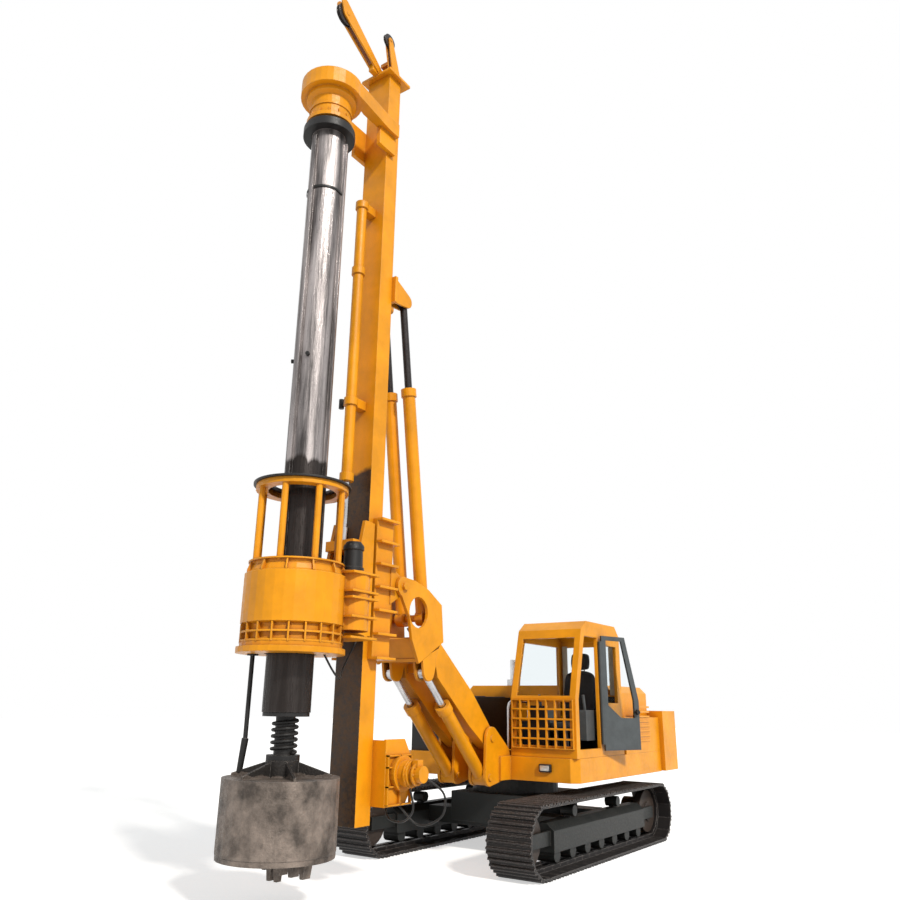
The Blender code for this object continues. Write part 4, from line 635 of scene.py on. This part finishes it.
for number in range(UPPER_GUSSETS):
    share = (number + 0.1) / UPPER_GUSSETS
    turn = Matrix.Translation(AXIS) @ Matrix.Rotation(2 * math.pi * share, 4, "Z")
    extruded(made, gusset, RIB_THICK, turn)
ring(made, AXIS, [(NECK_RADIUS - 0.02, top + 0.04), (NECK_RADIUS + 0.05, top + 0.04),
                  (NECK_RADIUS + 0.05, top + 0.058), (NECK_RADIUS - 0.02, top + 0.058)])
piece("rotary_ribs", made, enamel, "rotary")
PINION_HALF, FLANGE_THICKNESS, FLANGE_LEVELS = 0.215, 0.025, (2.57, 2.79, 2.99, 3.06, 3.26)
made = bmesh.new()
for side in ("left", "right"):
    at = middle("rotary_motor_" + side)
    for z in FLANGE_LEVELS:
        bar(made, (at.x - PINION_HALF, at.y - PINION_HALF, z),
            (at.x + PINION_HALF, at.y + PINION_HALF, z + FLANGE_THICKNESS))
piece("pinion_flanges", made, enamel, "rotary")
plate_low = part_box("rotary_cage")[1].z
plate_high = plate_low + 0.022
made = bmesh.new()
ring(made, AXIS, [(0.31, plate_low), (0.545, plate_low), (0.545, plate_high), (0.31, plate_high)])
ring(made, AXIS, [(0.33, plate_high), (0.46, plate_high), (0.45, plate_low + 0.04),
                  (0.34, plate_low + 0.04)])
piece("cage_wear_plate", made, black_coat, "rotary")
dress(enamel, "rotary_housing", "rotary_sledge", "rotary_cage", "kelly_guide", "drive_sleeve")
for side in ("left", "right"):
    low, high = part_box("rotary_motor_" + side)
    at = Vector(((low.x + high.x) / 2, (low.y + high.y) / 2, 0.0))
    made = bmesh.new()
    ring(made, at, [(0.0005, low.z), (0.125, low.z), (0.125, low.z + 0.05), (0.11, low.z + 0.06),
                    (0.105, high.z - 0.1), (0.118, high.z - 0.09), (0.118, high.z - 0.05),
                    (0.085, high.z), (0.0005, high.z)], 32)
    for number in range(8):
        turn = math.radians(45.0 * number + 20.0)
        foot = at + Vector((0.108 * math.cos(turn), 0.108 * math.sin(turn), high.z - 0.05))
        round_bar(made, foot, foot + Vector((0, 0, 0.014)), 0.01, segments=6)
    motor = piece("rotary_drive_motor_" + side, made, black_coat, "rotary")
    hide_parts("rotary_motor_" + side)
made = bmesh.new()
trigger_at = AXIS + Vector((-0.36, -0.2, 0.0))
round_bar(made, trigger_at + Vector((0, 0, 2.41)), trigger_at + Vector((0, 0, 1.55)), 0.024,
          segments=16)
round_bar(made, trigger_at + Vector((0, 0, 1.56)), trigger_at + Vector((-0.03, -0.015, 1.235)),
          0.036, 0.03, segments=16)
round_bar(made, trigger_at + Vector((0, 0, 2.385)), trigger_at + Vector((0, 0, 2.405)), 0.06,
          segments=20)
piece("flap_trigger_rod", made, black_coat, "rotary")


# Hoses and ropes: black rubber hoses that hang between two fittings, and the taut steel hoisting
# rope behind the mast, in two runs from the drum to the cradle and on up to the cathead. The
# boom's three pipes are rigid.
def route(points, count=28):
    """count points along one smooth line through the given ones."""
    points = [Vector(p) for p in points]
    held = [2 * points[0] - points[1]] + points + [2 * points[-1] - points[-2]]
    line = []
    for number in range(count):
        share = number / (count - 1) * (len(points) - 1)
        start = min(int(share), len(points) - 2)
        t = share - start
        a, b, c, d = held[start:start + 4]
        line.append(0.5 * (2 * b + (c - a) * t + (2 * a - 5 * b + 4 * c - d) * t * t
                           + (3 * b - a - 3 * c + d) * t ** 3))
    return line


def wire(name, line, diameter, finish, body):
    """A round tube along a line."""
    curve = bpy.data.curves.new(name, "CURVE")
    curve.dimensions = "3D"
    curve.bevel_depth = diameter / 2
    curve.bevel_resolution = 3
    curve.use_fill_caps = True
    spline = curve.splines.new("POLY")
    spline.points.add(len(line) - 1)
    for point, place in zip(spline.points, line):
        point.co = (*place, 1.0)
    curve.materials.append(finish)
    tube = bpy.data.objects.new(name, curve)
    bpy.context.scene.collection.objects.link(tube)
    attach(tube, body)
    return tube


rubber = coated("hose_rubber", (0.014, 0.014, 0.014), (0.03, 0.03, 0.03), SOIL, grain=20.0,
                rough=(0.4, 0.6), crease_shade=(0.02, 0.015, 0.01))
rope_steel = coated("rope_steel", (0.09, 0.08, 0.075), (0.3, 0.3, 0.3), SOIL, grain=60.0,
                    rough=(0.35, 0.6), metallic=0.6)
ROPE, WINCH_HOSE, ROTARY_HOSE, BOOM_PIPE = 0.024, 0.024, 0.022, 0.026
ROPE_TOP = 10.69
drum_mid, cradle = middle("winch_drum"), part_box("mast_cradle")
rope_x = drum_mid.x + 0.06
lower_y, upper_y = drum_mid.y - 0.14, drum_mid.y - 0.22
lower_run = route([(rope_x, lower_y, drum_mid.z), (rope_x, lower_y, cradle[0].z + 0.03)], 16)
upper_run = route([(rope_x, upper_y, cradle[1].z - 0.02), (rope_x, upper_y, ROPE_TOP)], 16)
wire("hoist_rope_lower", lower_run, ROPE, rope_steel, "mast")
wire("hoist_rope_upper", upper_run, ROPE, rope_steel, "mast")
winch_low, winch_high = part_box("winch_frame")
motor_low, motor_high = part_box("winch_motor")
front_run = route([(motor_high.x - 0.12, motor_low.y + 0.1, motor_low.z + 0.05),
                   (motor_high.x - 0.1, motor_low.y + 0.14, 0.82),
                   (motor_high.x - 0.3, motor_low.y + 0.22, 0.68),
                   (motor_high.x - 0.52, motor_low.y + 0.24, 0.7),
                   (winch_high.x - 0.26, winch_high.y - 0.12, winch_low.z + 0.01)])
rear_run = route([(motor_high.x - 0.03, motor_high.y - 0.12, motor_low.z + 0.16),
                  (motor_high.x + 0.14, motor_high.y, 0.98),
                  (motor_high.x + 0.06, motor_high.y + 0.08, 0.74),
                  (motor_high.x - 0.24, motor_high.y + 0.06, 0.63),
                  (winch_high.x - 0.1, winch_high.y - 0.1, winch_low.z + 0.01)])
wire("winch_hose_front", front_run, WINCH_HOSE, rubber, "mast")
wire("winch_hose_rear", rear_run, WINCH_HOSE, rubber, "mast")
sledge_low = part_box("rotary_sledge")[0]
rotary_run = route([AXIS + Vector((0.3, 0.18, 2.42)), AXIS + Vector((0.34, 0.3, 2.24)),
                    AXIS + Vector((0.3, 0.46, 2.17)), AXIS + Vector((0.2, 0.62, 2.3)),
                    AXIS + Vector((0.16, sledge_low.y - AXIS.y + 0.24, 2.65))])
wire("rotary_hose", rotary_run, ROTARY_HOSE, rubber, "rotary")
for number in range(3):
    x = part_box("boom")[0].x + 0.16 + 0.06 * number
    pipe_run = route([(x, -0.42, 2.06), (x, -0.7, 2.33), (x, -1.0, 2.6), (x, -1.3, 2.87)], 16)
    wire("boom_pipe_%d" % (number + 1), pipe_run, BOOM_PIPE, rubber, "boom")

# Kelly bar and bucket: bare steel, worn bright in upright streaks and brown between them, and
# black with grease where it runs in the drive. The bucket is scraped and stained by the ground.
kelly_steel = coated("kelly_steel", (0.211, 0.192, 0.189), (0.372, 0.36, 0.353), (0.2, 0.18, 0.16),
                     grain=11.0, rough=(0.2, 0.55), metallic=0.7, stretch=(1.0, 1.0, 0.07),
                     relief=0.4, swing=(0.28, 1.9), crease_shade_share=0.2,
                     band=(0.0, 4.5, (0.022, 0.017, 0.015), False))
bucket_steel = coated("bucket_steel", (0.16, 0.13, 0.11), (0.5, 0.46, 0.43), SOIL, grain=5.0,
                      rough=(0.3, 0.75), metallic=0.4, relief=0.9, crease_shade=(0.03, 0.02, 0.015),
                      swing=(0.45, 1.7), band=(1.24, 1.5, (0.02, 0.018, 0.017), False))
dress(kelly_steel, "kelly_outer")
dress(black_coat, "kelly_inner")
spring_low, spring_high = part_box("kelly_spring")
COILS, COIL_WIRE, COIL_STEPS = 5.5, 0.036, 132
coil_radius = (spring_high.x - spring_low.x) / 2 - COIL_WIRE / 2
rise = spring_high.z - spring_low.z - COIL_WIRE
coil_line = []
for step in range(COIL_STEPS + 1):
    turn = 2 * math.pi * COILS * step / COIL_STEPS
    height = spring_low.z + COIL_WIRE / 2 + rise * step / COIL_STEPS
    coil_line.append(AXIS + Vector((coil_radius * math.cos(turn), coil_radius * math.sin(turn), height)))
coil = wire("kelly_coil_spring", coil_line, COIL_WIRE, black_coat, "inner_kelly")
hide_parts("kelly_spring")

# On the outer tube: the black stop ring under the guide, the joint of its two lengths and two
# short pins, which clear the drive when the kelly is let down.
STOP_LOW, STOP_HIGH, STOP_RADIUS, TUBE_RADIUS = 8.965, 9.074, 0.336, 0.225
JOINT_LOW, JOINT_HIGH, JOINT_RADIUS = 8.08, 8.11, 0.232
PIN_Z, PIN_TURNS = 5.78, (215.0, -60.0)
made = bmesh.new()
for low, high, radius in ((STOP_LOW, STOP_HIGH, STOP_RADIUS), (JOINT_LOW, JOINT_HIGH, JOINT_RADIUS)):
    ring(made, AXIS, [(TUBE_RADIUS, low), (radius, low), (radius, high), (TUBE_RADIUS, high)])
for degrees in PIN_TURNS:
    turn = math.radians(degrees)
    out = Vector((math.cos(turn), math.sin(turn), 0.0))
    foot = AXIS + Vector((0, 0, PIN_Z))
    round_bar(made, foot + out * 0.2, foot + out * 0.252, 0.025, segments=16)
piece("kelly_stops", made, black_coat, "outer_kelly")

GUIDE_GUSSETS = 14
guide_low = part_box("kelly_guide")[0].z
gusset = [(0.262, guide_low + 0.055), (0.305, guide_low + 0.055), (0.305, guide_low + 0.075),
          (0.276, guide_low + 0.14), (0.262, guide_low + 0.14)]
made = bmesh.new()
for number in range(GUIDE_GUSSETS):
    turn = Matrix.Translation(AXIS) @ Matrix.Rotation(2 * math.pi * number / GUIDE_GUSSETS, 4, "Z")
    extruded(made, gusset, 0.014, turn)
ring(made, AXIS, [(0.262, guide_low + 0.2), (0.282, guide_low + 0.2), (0.282, guide_low + 0.225),
                  (0.262, guide_low + 0.225)])
piece("guide_gussets", made, enamel, "guide_arm")
dress(bucket_steel, "bucket", "bucket_flap")
